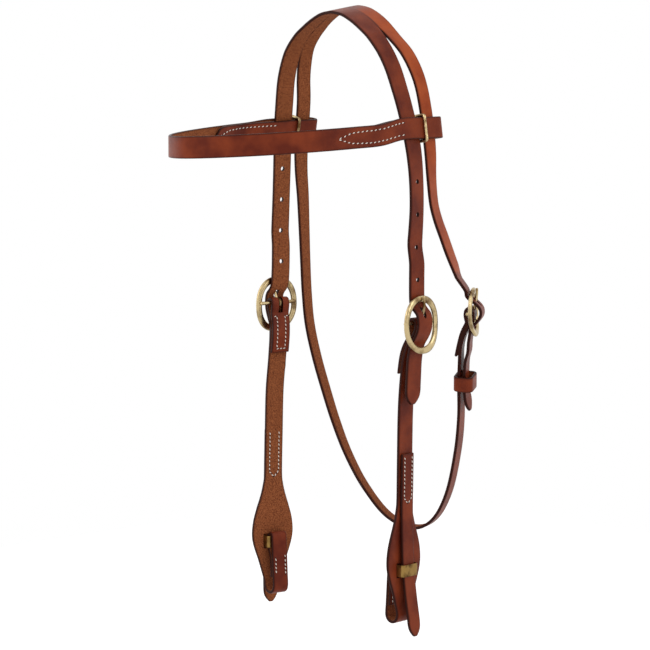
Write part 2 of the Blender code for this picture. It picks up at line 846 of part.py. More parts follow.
# A tongue: a loop round the bar and a shank through the billet's hole onto the ring
def make_tongue(name, frame, half_height, shank_shares):
    mesh = torus_mesh(name, tongue_steps, tongue_sides)
    for vertex in mesh.vertices:
        turned_n, turned_v, out, lift = torus_place(vertex)
        radius = tongue_loop_radius + tongue_radius * out
        vertex.co = to_world(frame, -tongue_radius * lift, turned_v * radius, turned_n * radius)
    tongue = add_object(name, mesh, brass)
    points = []
    for rise, height in smooth_points(shank_shares, profile_steps):
        points.append(to_world(frame, 0.0, height * half_height, rise * tongue_rise))
    shares = []
    for index in range(len(points)):
        t = index / (len(points) - 1)
        shares.append(1.0 + (tongue_tip_radius / tongue_radius - 1.0) * t)
    shank_name = name + "_shank"
    shank = tube_mesh(shank_name, tube_curve(shank_name, points, tongue_radius, shares, False))
    add_tool(shank_name, shank, tongue, "UNION")
    return tongue


fold_meet_drop = fold_meet_share * wrap_radius
cheek_line = smooth_points(((fold_meet_drop / cheek_length, 0.0, 0.0, 0.0),) + cheek_shares,
                           corner_steps)


# Cheekpiece values at a drop below the bar: forward lean, main layer's place, half width
def cheek_at(drop, side):
    share = drop / cheek_length
    found = cheek_line[-1]
    for here, there in zip(cheek_line, cheek_line[1:]):
        if here[0] <= share <= there[0]:
            t = (share - here[0]) / (there[0] - here[0])
            found = [a + (b - a) * t for a, b in zip(here, there)]
            break
    half = strap_half_width + (paddle_half_width - strap_half_width) * found[3]
    whole_lean = near_lean if side > 0 else far_lean
    return found[1] * whole_lean, layer_offset - found[2] * cheek_inset, half


# The cheekpiece from its fold-back end over the buckle bar, down the paddle, round the bit
# loop, up behind the clip, over it, and down to its sewn end
def cheekpiece_points(side):
    points = []
    reach = (cheek_fold_back - fold_meet_drop) / fold_back_steps
    for step in reversed(range(1, fold_back_steps + 1)):
        drop = fold_meet_drop + step * reach
        lean, out, half = cheek_at(drop, side)
        above = cheek_at(drop - bar_radius, side)[1]
        below = cheek_at(drop + bar_radius, side)[1]
        slope = math.atan2(above - below, 2 * bar_radius)
        stand_off = layer_step * fold_back_share
        points.append((lean, -drop + stand_off * math.sin(slope),
                       out - stand_off * math.cos(slope), half))
    points += reversed(wrap_points(strap_half_width))
    for drop_share, lean_share, inset_share, width_share in cheek_shares:
        lean, out, half = cheek_at(drop_share * cheek_length, side)
        points.append((lean, -drop_share * cheek_length, out, half))
    main = layer_offset - cheek_inset
    loop_middle = main - bit_loop_radius
    curl_half_width = strap_half_width * curl_width_share
    for degrees in half_turn_degrees:
        angle = math.radians(degrees)
        turned_share = degrees / half_turn_degrees[-1]
        half = curl_half_width + (return_half_width - curl_half_width) * turned_share
        points.append((lean, -bit_loop_drop - bit_loop_radius * math.sin(angle),
                       loop_middle + bit_loop_radius * math.cos(angle), half))
    clip_line = main - clip_inner_reach
    fold_drop = clip_drop - clip_half_height + gap
    behind = main - 2 * bit_loop_radius
    fold_start = clip_line - clip_fold_radius
    for share in return_shares:
        points.append((lean, -bit_loop_drop + (bit_loop_drop - fold_drop) * share,
                       behind + (fold_start - behind) * share, return_half_width))
    for degrees in half_turn_degrees:
        angle = math.radians(degrees)
        points.append((lean, -fold_drop + clip_fold_radius * math.sin(angle),
                       clip_line - clip_fold_radius * math.cos(angle), return_half_width))
    clip_bottom = clip_drop + clip_half_height + gap
    for drop in (clip_drop, clip_bottom):
        points.append((lean, -drop, clip_line + clip_fold_radius, return_half_width))
    for share in sewn_end_shares:
        drop = clip_bottom + (return_end_drop - clip_bottom) * share
        back = behind + (fold_start - behind) * (bit_loop_drop - drop) / (bit_loop_drop
                                                                          - fold_drop)
        points.append((lean, -drop, back + layer_step, return_half_width))
    return points


# Forward is minus u on the near side and plus u on the far side
def leaned(points, side):
    return [(-side * lean, v, n, half) for lean, v, n, half in points]


def make_cheekpiece(side_name, side, frame):
    name = side_name + "_cheekpiece"
    control = frame_control(frame, leaned(cheekpiece_points(side), side))
    cheekpiece = add_strap(name, smooth_rows(control, profile_steps), leather_thickness,
                           leather, False)
    cut_tongue_slot(cheekpiece, side_name + "_cheek", frame)
    lean, out, half = cheek_at(clip_drop, side)
    reach = leather_thickness
    middle = -side * lean
    mesh = box_mesh(side_name + "_window", frame,
                    (middle - window_half_width, -clip_drop - window_half_height, out - reach),
                    (middle + window_half_width, -clip_drop + window_half_height, out + reach))
    add_tool(side_name + "_window", mesh, cheekpiece, "DIFFERENCE")
    return cheekpiece


# Brass strip bent into a flat loop, through the paddle's window and the folded return
def make_bit_clip(side_name, side, frame):
    lean, out, half = cheek_at(clip_drop, side)
    inner = out - clip_inner_reach
    outer = out + clip_outer_reach
    across = frame[1] @ Vector((0.0, clip_half_height, 0.0))
    rows = []
    for u, n in rounded_loop(clip_half_width, (outer - inner) / 2, clip_corner):
        centre = to_world(frame, u - side * lean, -clip_drop, n + (outer + inner) / 2)
        rows.append((centre, across))
    return add_strap(side_name + "_bit_clip", rows, clip_strip, brass, True)


# Tab sewn on the outside of the cheekpiece, through the clip, with a pointed free end
def make_locking_tab(side_name, side, frame):
    points = []
    for drop_share, lift_share, drift_share in tab_shares:
        drop = tab_top + drop_share * tab_length
        lean, out, half = cheek_at(min(drop, cheek_length), side)
        points.append((lean - drift_share * tab_drift, -drop,
                       out + layer_step + lift_share * tab_lift, tab_half_width))
    control = add_tip(frame_control(frame, leaned(points, side)))
    return add_strap(side_name + "_locking_tab", smooth_rows(control, profile_steps),
                     leather_thickness, leather, False)


# Keeper: a leather loop round the long throat strap and the billet's tail
def make_throat_keeper():
    centre, across, run = spot_at(rising_rows, throat_frame[0].z - keeper_drop)
    normal = throat_normal(across, run)
    stand_off = keeper_stand_off_share * layer_step
    half_u = throat_half_width + keeper_play + keeper_thickness / 2
    half_n = (stand_off + keeper_slack) / 2 + half_thickness + keeper_play
    half_n += keeper_thickness / 2
    rows = []
    for a, b in rounded_loop(half_u, half_n, keeper_corner):
        spot = centre + across.normalized() * a + normal * (b + (stand_off + keeper_slack) / 2)
        rows.append((spot, run * keeper_half_height))
    return add_strap("throat_keeper", rows, keeper_thickness, leather, True)


# Plane of the two straps that the browband goes round on one side: a point on the front
# strap, directions along and up the straps, outward normal, and how far back the rear one is
def cheek_plane(side, rear_rows):
    level = -browband_drop + side * browband_roll
    front_centre, front_across, front_run = spot_at(front_rows[side], level)
    rear_centre, rear_across, rear_run = spot_at(rear_rows, level)
    along = rear_centre - front_centre
    along.z = 0.0
    back = along.length
    along.normalize()
    up = front_run + rear_run
    up -= along * up.dot(along)
    up.normalize()
    normal = along.cross(up) * side
    return front_centre, along, up, normal, back


near_plane = cheek_plane(1.0, near_rear_rows)
far_plane = cheek_plane(-1.0, far_rear_rows)


def plane_spot(plane, along_by, up_by, out_by):
    centre, along, up, normal, back = plane
    return centre + along * along_by + up * up_by + normal * out_by


# Browband ahead of the cheeks: half an oval that droops to the middle and rolls a little
def front_control(side, angle_degrees, inset):
    angle = math.radians(angle_degrees)
    place = Vector((side * browband_half_span * math.cos(angle),
                    -browband_setback - browband_reach * math.sin(angle), 0.0))
    outward = Vector((side * browband_reach * math.cos(angle),
                      -browband_half_span * math.sin(angle), 0.0)).normalized()
    place -= outward * inset
    place.z = (-browband_drop + browband_roll * place.x / browband_half_span
               - browband_droop * math.sin(angle) ** (near_droop_power if side > 0 else 1))
    return control_point(place, Vector((0.0, 0.0, browband_half_height)))


# One side of the browband from the start of its oval, round the two straps, to the inner
# flap's tip
def browband_side(side, plane):
    back = plane[4] + throat_half_width + browband_rear_play
    across = plane[2] * browband_half_height
    places = [(-browband_lead, browband_spacing), (back / 2, browband_spacing)]
    for degrees in half_turn_degrees:
        angle = math.radians(degrees)
        places.append((back + browband_spacing * math.sin(angle),
                       browband_spacing * math.cos(angle)))
    places += [(back / 2, -browband_spacing), (-browband_lead, -browband_spacing)]
    control = [control_point(plane_spot(plane, s, 0.0, n), across) for s, n in places]
    for angle, distance in flap_shares:
        control.append(front_control(side, angle, distance * layer_step))
    return add_tip(control)


def make_browband():
    far_half = [front_control(-1.0, angle, 0.0) for angle in front_angles[:-1]]
    near_half = [front_control(1.0, angle, 0.0) for angle in reversed(front_angles)]
    control = list(reversed(browband_side(-1.0, far_plane))) + far_half
    control += near_half + browband_side(1.0, near_plane)
    return add_strap("browband", smooth_rows(control, profile_steps), leather_thickness,
                     leather, False)


# Wire loop round both layers of the browband, between the two straps
def make_wire_loop(name, plane):
    middle = (strap_half_width + plane[4] - throat_half_width) / 2
    points = []
    for up_by, out_by in rounded_loop(wire_half_height, wire_half_depth, wire_corner):
        points.append(plane_spot(plane, middle, up_by, out_by))
    shares = [1.0] * len(points)
    return add_object(name, tube_curve(name, points, wire_radius, shares, True), brass)


make_crownpiece()
make_browband()
make_wire_loop("near_browband_loop", near_plane)
make_wire_loop("far_browband_loop", far_plane)
for side_name, side, frame in (("near", 1.0, near_frame), ("far", -1.0, far_frame)):
    make_buckle(side_name + "_cheek_buckle", frame, ring_half_width, ring_half_height,
                ring_band_half, ring_drop)
    cheek_pieces = [make_cheekpiece(side_name, side, frame),
                    make_bit_clip(side_name, side, frame),
                    make_locking_tab(side_name, side, frame),
                    make_tongue(side_name + "_cheek_tongue", frame, ring_half_height,
                                cheek_shank_shares)]
    add_hinge(side_name + "_cheek_hinge", frame, cheek_pieces)
make_buckle("throat_buckle", throat_frame, throat_ring_half_width, throat_ring_half_height,
            throat_ring_band_half, 0.0)
throat_tongue = make_tongue("throat_tongue", throat_frame, throat_ring_half_height,
                            throat_shank_shares)
add_hinge("throat_tongue_hinge", throat_frame, [throat_tongue])
make_throat_keeper()
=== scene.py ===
# Western headstall in harness leather with brass fittings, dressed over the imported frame.
# The paths repeat the part's own, in metres, so that each strap lies where its solid does.

import math

import bmesh
import bpy
from mathutils import Matrix, Vector


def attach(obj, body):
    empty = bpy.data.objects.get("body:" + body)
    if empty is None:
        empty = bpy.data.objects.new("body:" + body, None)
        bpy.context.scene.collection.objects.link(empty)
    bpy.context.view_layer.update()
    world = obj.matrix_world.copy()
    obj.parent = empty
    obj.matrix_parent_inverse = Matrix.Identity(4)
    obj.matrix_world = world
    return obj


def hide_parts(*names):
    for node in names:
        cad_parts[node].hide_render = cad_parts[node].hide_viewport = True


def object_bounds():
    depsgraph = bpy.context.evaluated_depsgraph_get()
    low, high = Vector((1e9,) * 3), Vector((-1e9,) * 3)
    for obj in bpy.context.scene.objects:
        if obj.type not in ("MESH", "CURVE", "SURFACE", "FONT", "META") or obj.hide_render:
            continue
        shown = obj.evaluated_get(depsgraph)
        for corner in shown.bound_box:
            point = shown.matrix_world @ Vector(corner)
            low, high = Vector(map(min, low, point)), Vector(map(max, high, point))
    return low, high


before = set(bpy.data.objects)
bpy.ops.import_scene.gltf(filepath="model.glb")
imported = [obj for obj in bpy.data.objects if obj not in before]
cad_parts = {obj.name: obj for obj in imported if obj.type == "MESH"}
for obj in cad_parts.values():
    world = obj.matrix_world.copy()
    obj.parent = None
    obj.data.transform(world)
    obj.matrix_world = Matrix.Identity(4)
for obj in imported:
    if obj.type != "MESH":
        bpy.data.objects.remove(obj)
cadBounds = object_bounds()
print("frame loaded:", len(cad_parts), "nodes")

form = {"length": 0.1, "gap": 0.0003}
smoothing = {"path": 8, "profile": 8, "corner": 8}
strap = {
    "thickness": 0.0026,
    "halfWidth": 0.009,
    "throatHalfWidth": 0.007,
    "tipLength": 0.0115,
    "corner": 0.0009,      # round of the burnished edge
    "rowStep": 0.0019,     # longest step along a strap
    "rowTurn": 0.13,       # most that it turns in one step, radians
    "columns": 10,
    "slitFade": 0.006,     # how soon the slit's edges are fully rounded
    "cutLine": 0.014,      # how far the cut shows as a dark line before it opens
    "cutFade": 0.0007,     # how far from the cut its dark line fades out
    "rimSteps": 8,         # points round each edge
    "sharpDegrees": 42.0,  # sharper corners than this aren't smoothed
}
holes = {
    "radius": 0.002,
    "pitch": 0.0266,
    "count": 4,
    "reach": 0.02,
    "sides": 20,
    "cheekHalfLength": 0.0045,
    "throatHalfLength": 0.0054,
    "slotHalfWidth": 0.0022,
    "slotDepth": 0.0085,
    "cheekShare": 0.35,
    "throatShare": 0.52,
    "firstShare": 0.37,
}
buckle = {
    "barRadius": 0.0016,
    "barPlay": 0.0005,
    "halfHeight": 0.0239,
    "halfWidth": 0.0211,
    "bandHalf": 0.0028,
    "throatHalfHeight": 0.0205,
    "throatHalfWidth": 0.0172,
    "throatBandHalf": 0.0029,
    "halfThickness": 0.00175,
    "lift": 0.0024,
    "heelRise": 0.0028,
    "drop": 0.0015,
    "power": 0.9,
    "barEndShare": 1.5,    # bar ends in from the ring's edge, in half bands
    "barSides": 24,
    "steps": 112,
    "sides": 20,
}
tongue = {"radius": 0.0012, "tipRadius": 0.0011, "sides": 16, "loopSteps": 32}
billet = {"arch": 0.004, "throatArch": 0.0075, "farLean": 0.3, "foldStart": 0.125, "foldDip": 0.027}
cheek = {
    "length": 0.25,
    "nearLean": 0.0094,
    "farLean": 0.0122,
    "inset": 0.00945,
    "foldBack": 0.042,
    "foldBackSteps": 9,
    "foldMeet": 2.45,
    "foldInner": 1.65,
    "foldBackShare": 1.08,
    "paddleHalfWidth": 0.021,
    "returnHalfWidth": 0.0076,
    "loopRadius": 0.0061,
    "loopDrop": 0.2425,
    "returnEnd": 0.235,
    "curlWidth": 0.92,
}
clip = {
    "halfWidth": 0.00925,
    "halfHeight": 0.005,
    "strip": 0.0012,
    "edge": 0.0004,
    "corner": 0.0022,
    "drop": 0.2045,
    "innerReach": 0.00735,
    "outerReach": 0.00775,
    "play": 0.0005,
    "windowHalfWidth": 0.0101,
    "windowHalfHeight": 0.0062,
}
tab = {"halfWidth": 0.0072, "top": 0.108, "length": 0.1525, "lift": 0.00625, "drift": 0.0045}
keeper = {
    "drop": 0.059,
    "halfHeight": 0.0065,
    "slack": 0.0034,
    "thickness": 0.0022,
    "corner": 0.0036,
    "edge": 0.0008,
    "play": 0.0008,
    "standOff": 1.6,
}
browband = {
    "flapLength": 0.088,   # the flap, from its tip to where it comes to full width
    "flapBlend": 0.02,
    "flapNarrower": 0.07,
    "halfHeight": 0.0089,
    "halfSpan": 0.084,
    "reach": 0.172,
    "setback": 0.005,
    "drop": 0.0985,
    "droop": 0.0085,
    "nearDroopPower": 0.55,
    "roll": 0.0032,
    "lead": 0.0125,
    "play": 0.0013,
    "rearPlay": 0.002,
}
wire = {"radius": 0.0013, "corner": 0.0019, "sides": 18}
turns = {"near": -7.0, "far": 6.0, "throat": -35.0, "throatTilt": 3.0}

halfThickness = strap["thickness"] / 2
branchSpacing = strap["halfWidth"] + strap["throatHalfWidth"]
layerOffset = halfThickness + form["gap"] / 2
layerStep = strap["thickness"] + form["gap"]
wrapRadius = buckle["barRadius"] + buckle["barPlay"] + halfThickness
wrapOutside = wrapRadius + halfThickness
billetRest = layerOffset + layerStep
tongueLoopRadius = buckle["barRadius"] + form["gap"] + tongue["radius"]
tongueRise = buckle["lift"] + buckle["halfThickness"] + form["gap"] + tongue["radius"]
browbandSpacing = halfThickness + browband["play"] + halfThickness
wireHalfDepth = browbandSpacing + halfThickness + form["gap"] + wire["radius"]
wireHalfHeight = browband["halfHeight"] + form["gap"] + wire["radius"]
clipFoldRadius = clip["strip"] / 2 + clip["play"] + halfThickness

nearBarShares = (0.875, 0.0, -2.533)
farBarShares = (0.875, 0.0, -2.505)
throatBarShares = (0.866, 0.6, -2.49)

# Front strap: across, forward and back, height, near and far turn, flare, stray
frontPathShares = (
    (0.0, -0.095, -0.0125, 0.0, 0.0, 8.0, 0.0),
    (0.13, -0.095, -0.0325, 0.0, 0.0, 8.0, 0.0),
    (0.2565, -0.095, -0.087, 0.0, 0.0, 8.0, 0.0),
    (0.369, -0.095, -0.156, 0.0, 0.0, 7.0, 0.0),
    (0.461, -0.095, -0.227, 0.0, 0.0, 4.0, 0.0),
    (0.568, -0.09, -0.347, -1.0, 1.0, 1.0, 0.0),
    (0.643, -0.078, -0.475, -2.0, 1.7, 0.0, 0.002),
    (0.697, -0.066, -0.61, -3.5, 3.0, 0.0, 0.004),
    (0.742, -0.043, -0.78, -5.0, 4.0, 0.0, 0.002),
    (0.785, -0.02, -0.98, -5.0, 4.0, 0.0, 0.0),
    (0.815, -0.002, -1.17, -7.0, 4.0, 0.0, 0.001),
    (0.842, 0.006, -1.38, -11.0, 3.0, 0.0, 0.01),
    (0.862, 0.0035, -1.62, -12.0, 2.5, 0.0, 0.0205),
    (0.872, -0.012, -1.88, -9.0, 4.0, 0.0, 0.033),
)
sharedPointCount = 4

# Rear straps: across, back from edge to edge, height, turn, half width share
nearRearPathShares = (
    (0.500, -0.078, -0.24, 0.0, 1.05),
    (0.597, -0.048, -0.345, -1.0, 1.04),
    (0.670, -0.021, -0.475, -2.0, 1.02),
    (0.718, 0.0, -0.61, -4.0, 1.0),
    (0.750, 0.018, -0.78, -5.0, 1.0),
    (0.773, 0.035, -0.98, -5.0, 1.0),
    (0.789, 0.045, -1.17, -9.0, 1.0),
    (0.804, 0.045, -1.38, -18.0, 1.0),
    (0.822, 0.055, -1.58, -21.0, 1.0),
    (0.838, 0.088, -1.72, -21.0, 1.0),
    (0.85, 0.14, -1.85, -21.0, 1.0),
    (0.855, 0.203, -1.99, -22.0, 1.0),
    (0.855, 0.276, -2.13, -26.0, 1.0),
)
farRearPathShares = (
    (-0.505, -0.088, -0.24, 0.0, 1.05),
    (-0.6, -0.07, -0.345, 0.5, 1.04),
    (-0.662, -0.044, -0.475, 1.5, 1.02),
    (-0.702, -0.02, -0.61, 2.0, 1.0),
    (-0.738, 0.014, -0.78, 3.0, 1.0),
    (-0.774, 0.032, -0.98, 3.5, 1.0),
    (-0.809, 0.047, -1.17, 2.5, 1.0),
    (-0.835, 0.07, -1.38, -3.0, 1.0),
    (-0.852, 0.105, -1.62, -8.0, 1.0),
    (-0.87, 0.135, -1.9, -13.0, 1.0),
    (-0.88, 0.157, -2.18, -16.0, 1.0),
    (-0.87, 0.165, -2.46, -17.0, 1.0),
    (-0.84, 0.173, -2.73, -18.0, 1.0),
    (-0.78, 0.2, -3.01, -19.0, 1.0),
    (-0.70, 0.235, -3.29, -20.0, 1.0),
    (-0.60, 0.26, -3.56, -22.0, 1.0),
    (-0.475, 0.29, -3.83, -25.0, 1.0),
    (-0.31, 0.34, -4.1, -28.0, 1.0),
    (-0.11, 0.43, -4.34, -28.0, 1.0),
    (0.10, 0.545, -4.43, -27.0, 1.0),
    (0.28, 0.605, -4.34, -26.0, 1.0),
    (0.45, 0.605, -4.09, -26.0, 1.0),
    (0.60, 0.56, -3.72, -26.0, 1.0),
    (0.70, 0.5, -3.4, -27.0, 1.0),
    (0.75, 0.445, -3.11, -30.0, 1.0),
    (0.79, 0.41, -2.86, -33.0, 1.0),
)

# Billets over their buckles: height, sideways, rise, forward lean
cheekBilletShares = (
    (1.95, -0.34, -1.04, 0.0),
    (1.39, -0.27, -1.2, 0.0),
    (1.04, -0.19, -1.34, 0.0),
    (0.85, -0.14, -1.4, 0.0),
    (0.71, -0.1, -1.4, 0.0),
    (0.59, -0.06, -1.24, 0.0),
    (0.48, -0.03, -0.82, 0.0),
    (0.37, 0.0, -0.17, 0.0),
    (0.27, 0.0, 0.23, 0.0),
    (0.12, 0.0, 0.45, 0.0),
    (-0.04, 0.0, 0.48, 0.0),
    (-0.2, 0.0, 0.37, 0.0),
    (-0.35, 0.0, 0.08, 0.02),
    (-0.47, 0.0, -0.27, 0.05),
    (-0.58, 0.0, -0.6, 0.1),
    (-0.71, 0.0, -1.05, 0.16),
    (-0.9, 0.0, -1.37, 0.24),
    (-1.3, 0.0, -1.5, 0.42),
    (-1.8, 0.0, -1.36, 0.6),
    (-2.3, 0.0, -1.21, 0.76),
    (-2.8, 0.0, -1.09, 0.9),
)
throatBilletShares = (
    (1.37, -1.04, -1.58, 0.0),
    (1.0, -0.6, -0.98, 0.0),
    (0.84, -0.4, -0.85, 0.0),
    (0.7, -0.25, -0.82, 0.0),
    (0.55, -0.12, -0.48, 0.0),
    (0.38, -0.05, 0.17, 0.0),
    (0.15, 0.0, 0.67, 0.0),
    (-0.12, 0.0, 0.7, 0.0),
    (-0.35, 0.0, 0.3, 0.0),
    (-0.55, 0.0, -0.19, 0.0),
    (-0.7, 0.0, -0.44, 0.0),
    (-0.85, 0.0, -0.5, 0.0),
)

# Drop below the bar and stand-off of the layers beside the long strap
throatTailShares = (
    (-0.24, 1.45),
    (-0.31, 2.0),
    (-0.4, 1.75),
    (-0.5, 1.6),
    (-0.6, 1.6),
    (-0.69, 1.75),
    (-0.835, 2.7),
)
throatFoldBackShares = (
    (-0.15, -1.15),
    (-0.21, -1.3),
    (-0.285, -1.2),
    (-0.36, -1.05),
)

# Fold round a bar: height and rise as shares of the wrap radius
wrapShares = (
    (-1.55, 0.84),
    (-0.45, 0.99),
    (0.71, 0.71),
    (1.0, 0.0),
    (0.71, -0.71),
    (-0.45, -0.99),
    (-1.55, -0.84),
)

# Cheekpiece: drop, lean, inset and width
cheekShares = (
    (0.048, 0.04, 0.2, 0.0),
    (0.06, 0.09, 0.38, 0.0),
    (0.08, 0.2, 0.64, 0.0),
    (0.12, 0.36, 0.88, 0.0),
    (0.2, 0.58, 0.99, 0.0),
    (0.3, 0.78, 1.0, 0.0),
    (0.44, 0.86, 1.0, 0.0),
    (0.58, 0.92, 1.0, 0.0),
    (0.62, 0.94, 1.0, 0.087),
    (0.66, 0.95, 1.0, 0.304),
    (0.7, 0.97, 1.0, 0.609),
    (0.74, 0.98, 1.0, 0.878),
    (0.78, 0.99, 1.0, 1.0),
    (0.812, 1.0, 1.0, 0.957),
    (0.844, 1.0, 1.0, 0.765),
    (0.88, 1.0, 1.0, 0.478),
    (0.92, 1.0, 1.0, 0.2),
    (0.955, 1.0, 1.0, -0.026),
)
halfTurnDegrees = (0.0, 45.0, 90.0, 135.0, 180.0)
returnShares = (0.2, 0.45, 0.7, 0.85)
sewnEndShares = (0.35, 0.7, 1.0)

# Tab: drop, lift and drift
tabShares = (
    (0.0, 0.0, 0.0),
    (0.15, 0.0, 0.0),
    (0.29, 0.0, 0.0),
    (0.44, 0.1, 0.0),
    (0.54, 0.2, 0.0),
    (0.63, 0.3, 0.08),
    (0.77, 0.52, 0.4),
    (0.9, 0.81, 0.78),
    (1.0, 1.0, 1.0),
)
tipShares = ((0.0, 1.0), (0.35, 0.93), (0.62, 0.74), (0.85, 0.45), (1.0, 0.22))

# Tongue shanks: rise and height
cheekShankShares = ((0.42, 0.08), (0.5, 0.17), (0.74, 0.32), (0.93, 0.46),
                    (1.0, 0.62), (1.0, 0.9))
throatShankShares = ((0.55, 0.02), (0.66, 0.244), (0.82, 0.488), (0.96, 0.683),
                     (1.0, 0.805), (1.0, 0.94))

# Browband: angles from the cheek to the middle, then the flap with its distance
frontAngles = (11.0, 20.0, 30.0, 42.0, 55.0, 68.0, 79.0, 90.0)
flapShares = ((13.0, 1.42), (19.5, 1.06), (26.5, 1.0))


# Smooth line through control points of any number of values
def smoothPoints(points, cuts):
    dense = []
    last = len(points) - 1
    for index in range(last):
        before = points[max(index - 1, 0)]
        after = points[min(index + 2, last)]
        for cut in range(cuts):
            t = cut / cuts
            weights = (
                -0.5 * t + t * t - 0.5 * t ** 3,
                1 - 2.5 * t * t + 1.5 * t ** 3,
                0.5 * t + 2 * t * t - 1.5 * t ** 3,
                -0.5 * t * t + 0.5 * t ** 3,
            )
            row = []
            for values in zip(before, points[index], points[index + 1], after):
                row.append(sum(weight * value for weight, value in zip(weights, values)))
            dense.append(tuple(row))
    dense.append(tuple(points[last]))
    return dense


# A frame at a buckle bar: u along the bar, v up the strap, n out from the horse
def barFrame(placeShares, side, turnDegrees, tiltDegrees):
    place = Vector(placeShares) * form["length"]
    place.x *= side
    turn = math.radians(turnDegrees)
    along = Vector((math.sin(turn), math.cos(turn), 0.0)) * side
    up = Vector((0.0, 0.0, 1.0))
    outward = along.cross(up)
    axes = Matrix((along, up, outward)).transposed()
    tilt = Matrix.Rotation(math.radians(tiltDegrees), 3, outward)
    return place, tilt @ axes


def toWorld(barPlace, u, v, n):
    origin, axes = barPlace
    return origin + axes @ Vector((u, v, n))


# A strap is a list of rows, each a centre and a half width across; its control points
# hold both as six numbers
def controlPoint(centre, across):
    return (centre.x, centre.y, centre.z, across.x, across.y, across.z)


def smoothRows(control, cuts):
    return [(Vector(row[0:3]), Vector(row[3:6])) for row in smoothPoints(control, cuts)]


# Control points given in a bar frame: (u, v, n, half width)
def frameControl(barPlace, points):
    control = []
    for u, v, n, half in points:
        across = barPlace[1] @ Vector((half, 0.0, 0.0))
        control.append(controlPoint(toWorld(barPlace, u, v, n), across))
    return control


# Rows of a path given as (x, y, z, turn, half width, flare): the turn is about the upright,
# and the flare lifts the rear edge away from the head
def pathRows(points):
    dense = smoothPoints(points, smoothing["path"])
    centres = [Vector(row[0:3]) for row in dense]
    rows = []
    last = len(dense) - 1
    for index, row in enumerate(dense):
        run = centres[min(index + 1, last)] - centres[max(index - 1, 0)]
        run.normalize()
        turn = math.radians(row[3])
        across = Vector((math.sin(turn), math.cos(turn), 0.0))
        across -= run * across.dot(run)
        across.normalize()
        outward = across.cross(run)
        away = Vector((row[0], 0.0, row[2] + form["length"]))
        if outward.dot(away) < 0:
            outward = -outward
        flare = math.radians(row[5])
        across = across * math.cos(flare) + outward * math.sin(flare)
        rows.append((centres[index], across * row[4]))
    return rows


# Centre, half width across and upward run of a strap where it passes a height
def spotAt(rows, height):
    for here, there in zip(rows, rows[1:]):
        low, high = sorted((here[0].z, there[0].z))
        if low <= height <= high:
            t = (height - here[0].z) / (there[0].z - here[0].z)
            run = (there[0] - here[0]).normalized()
            if run.z < 0:
                run = -run
            return here[0].lerp(there[0], t), here[1].lerp(there[1], t), run
    return rows[-1][0], rows[-1][1], Vector((0.0, 0.0, 1.0))


# The last stretch of a strap narrows to a rounded point
def addTip(control):
    last = control[-1]
    end = Vector(last[0:3])
    across = Vector(last[3:6])
    step = (end - Vector(control[-2][0:3])).normalized()
    tipped = list(control[:-1])
    for along, share in tipShares:
        tipped.append(controlPoint(end + step * (along - 1.0) * strap["tipLength"], across * share))
    return tipped


# A rounded rectangle as points (a, b) about its middle
def roundedLoop(halfA, halfB, corner):
    loop = []
    quarter = math.pi / 2
    for index, (signA, signB) in enumerate(((1, 1), (-1, 1), (-1, -1), (1, -1))):
        for cut in range(smoothing["corner"] + 1):
            angle = quarter * (index + cut / smoothing["corner"])
            loop.append((signA * (halfA - corner) + corner * math.cos(angle),
                         signB * (halfB - corner) + corner * math.sin(angle)))
    return loop


nearFrame = barFrame(nearBarShares, 1.0, turns["near"], 0.0)
farFrame = barFrame(farBarShares, -1.0, turns["far"], 0.0)
throatFrame = barFrame(throatBarShares, 1.0, turns["throat"], turns["throatTilt"])


# Crownpiece paths
def frontPoints(side):
    points = []
    for x, y, z, nearTurn, farTurn, flare, stray in frontPathShares:
        turn = nearTurn if side > 0 else farTurn
        points.append((side * x * form["length"], (y - side * stray) * form["length"],
                       z * form["length"] + halfThickness, turn, strap["halfWidth"], flare))
    return points


frontRows = {1.0: pathRows(frontPoints(1.0)), -1.0: pathRows(frontPoints(-1.0))}
sharedRow = (sharedPointCount - 1) * smoothing["path"]


# The rear branch starts behind the front one, edge to edge, where the slit ends
def rearPoints(side, shares):
    slitCentre, slitAcross = frontRows[side][sharedRow]
    flare = frontPathShares[sharedPointCount - 1][5]
    half = strap["throatHalfWidth"] * shares[0][4]
    start = slitCentre + slitAcross * (1.0 + half / strap["halfWidth"])
    points = [(start.x, start.y, start.z, 0.0, half, flare)]
    for x, y, z, turn, widthShare in shares:
        points.append((x * form["length"], y * form["length"] + branchSpacing,
                       z * form["length"] + halfThickness, turn,
                       strap["throatHalfWidth"] * widthShare, 0.0))
    return points


def billetPoints(shares, ringHalf, half, arch, side):
    points = []
    for height, sideways, rise, lean in shares:
        leanShare = lean if side > 0 else lean * billet["farLean"]
        points.append(((sideways - side * leanShare) * half, height * ringHalf,
                       billetRest + rise * arch, half))
    return points


# Strap round a bar, from the outer layer below it to the inner layer below it
def wrapPoints(half):
    meet = cheek["foldMeet"] * wrapRadius
    points = [(0.0, -meet, layerOffset, half)]
    for height, rise in wrapShares:
        points.append((0.0, height * wrapRadius, rise * wrapRadius, half))
    points.append((0.0, -meet, -layerOffset * cheek["foldInner"], half))
    return points


# Main layer of the throat strap's fold where it leaves the long strap
def throatFoldStart():
    point = (0.0, -billet["foldStart"] * form["length"],
             layerOffset - billet["foldDip"] * form["length"], strap["throatHalfWidth"])
    return frameControl(throatFrame, [point])


nearRearRows = pathRows(rearPoints(1.0, nearRearPathShares))
farRearRows = pathRows(rearPoints(-1.0, farRearPathShares))
lowestIndex = min(range(len(farRearRows)), key=lambda index: farRearRows[index][0].z)
risingRows = farRearRows[lowestIndex:] + smoothRows(throatFoldStart(), smoothing["profile"])


# Outward normal of the long strap beside the throat buckle
def throatNormal(across, run):
    normal = across.cross(run).normalized()
    outward = throatFrame[1] @ Vector((0.0, 0.0, 1.0))
    return normal if normal.dot(outward) > 0 else -normal


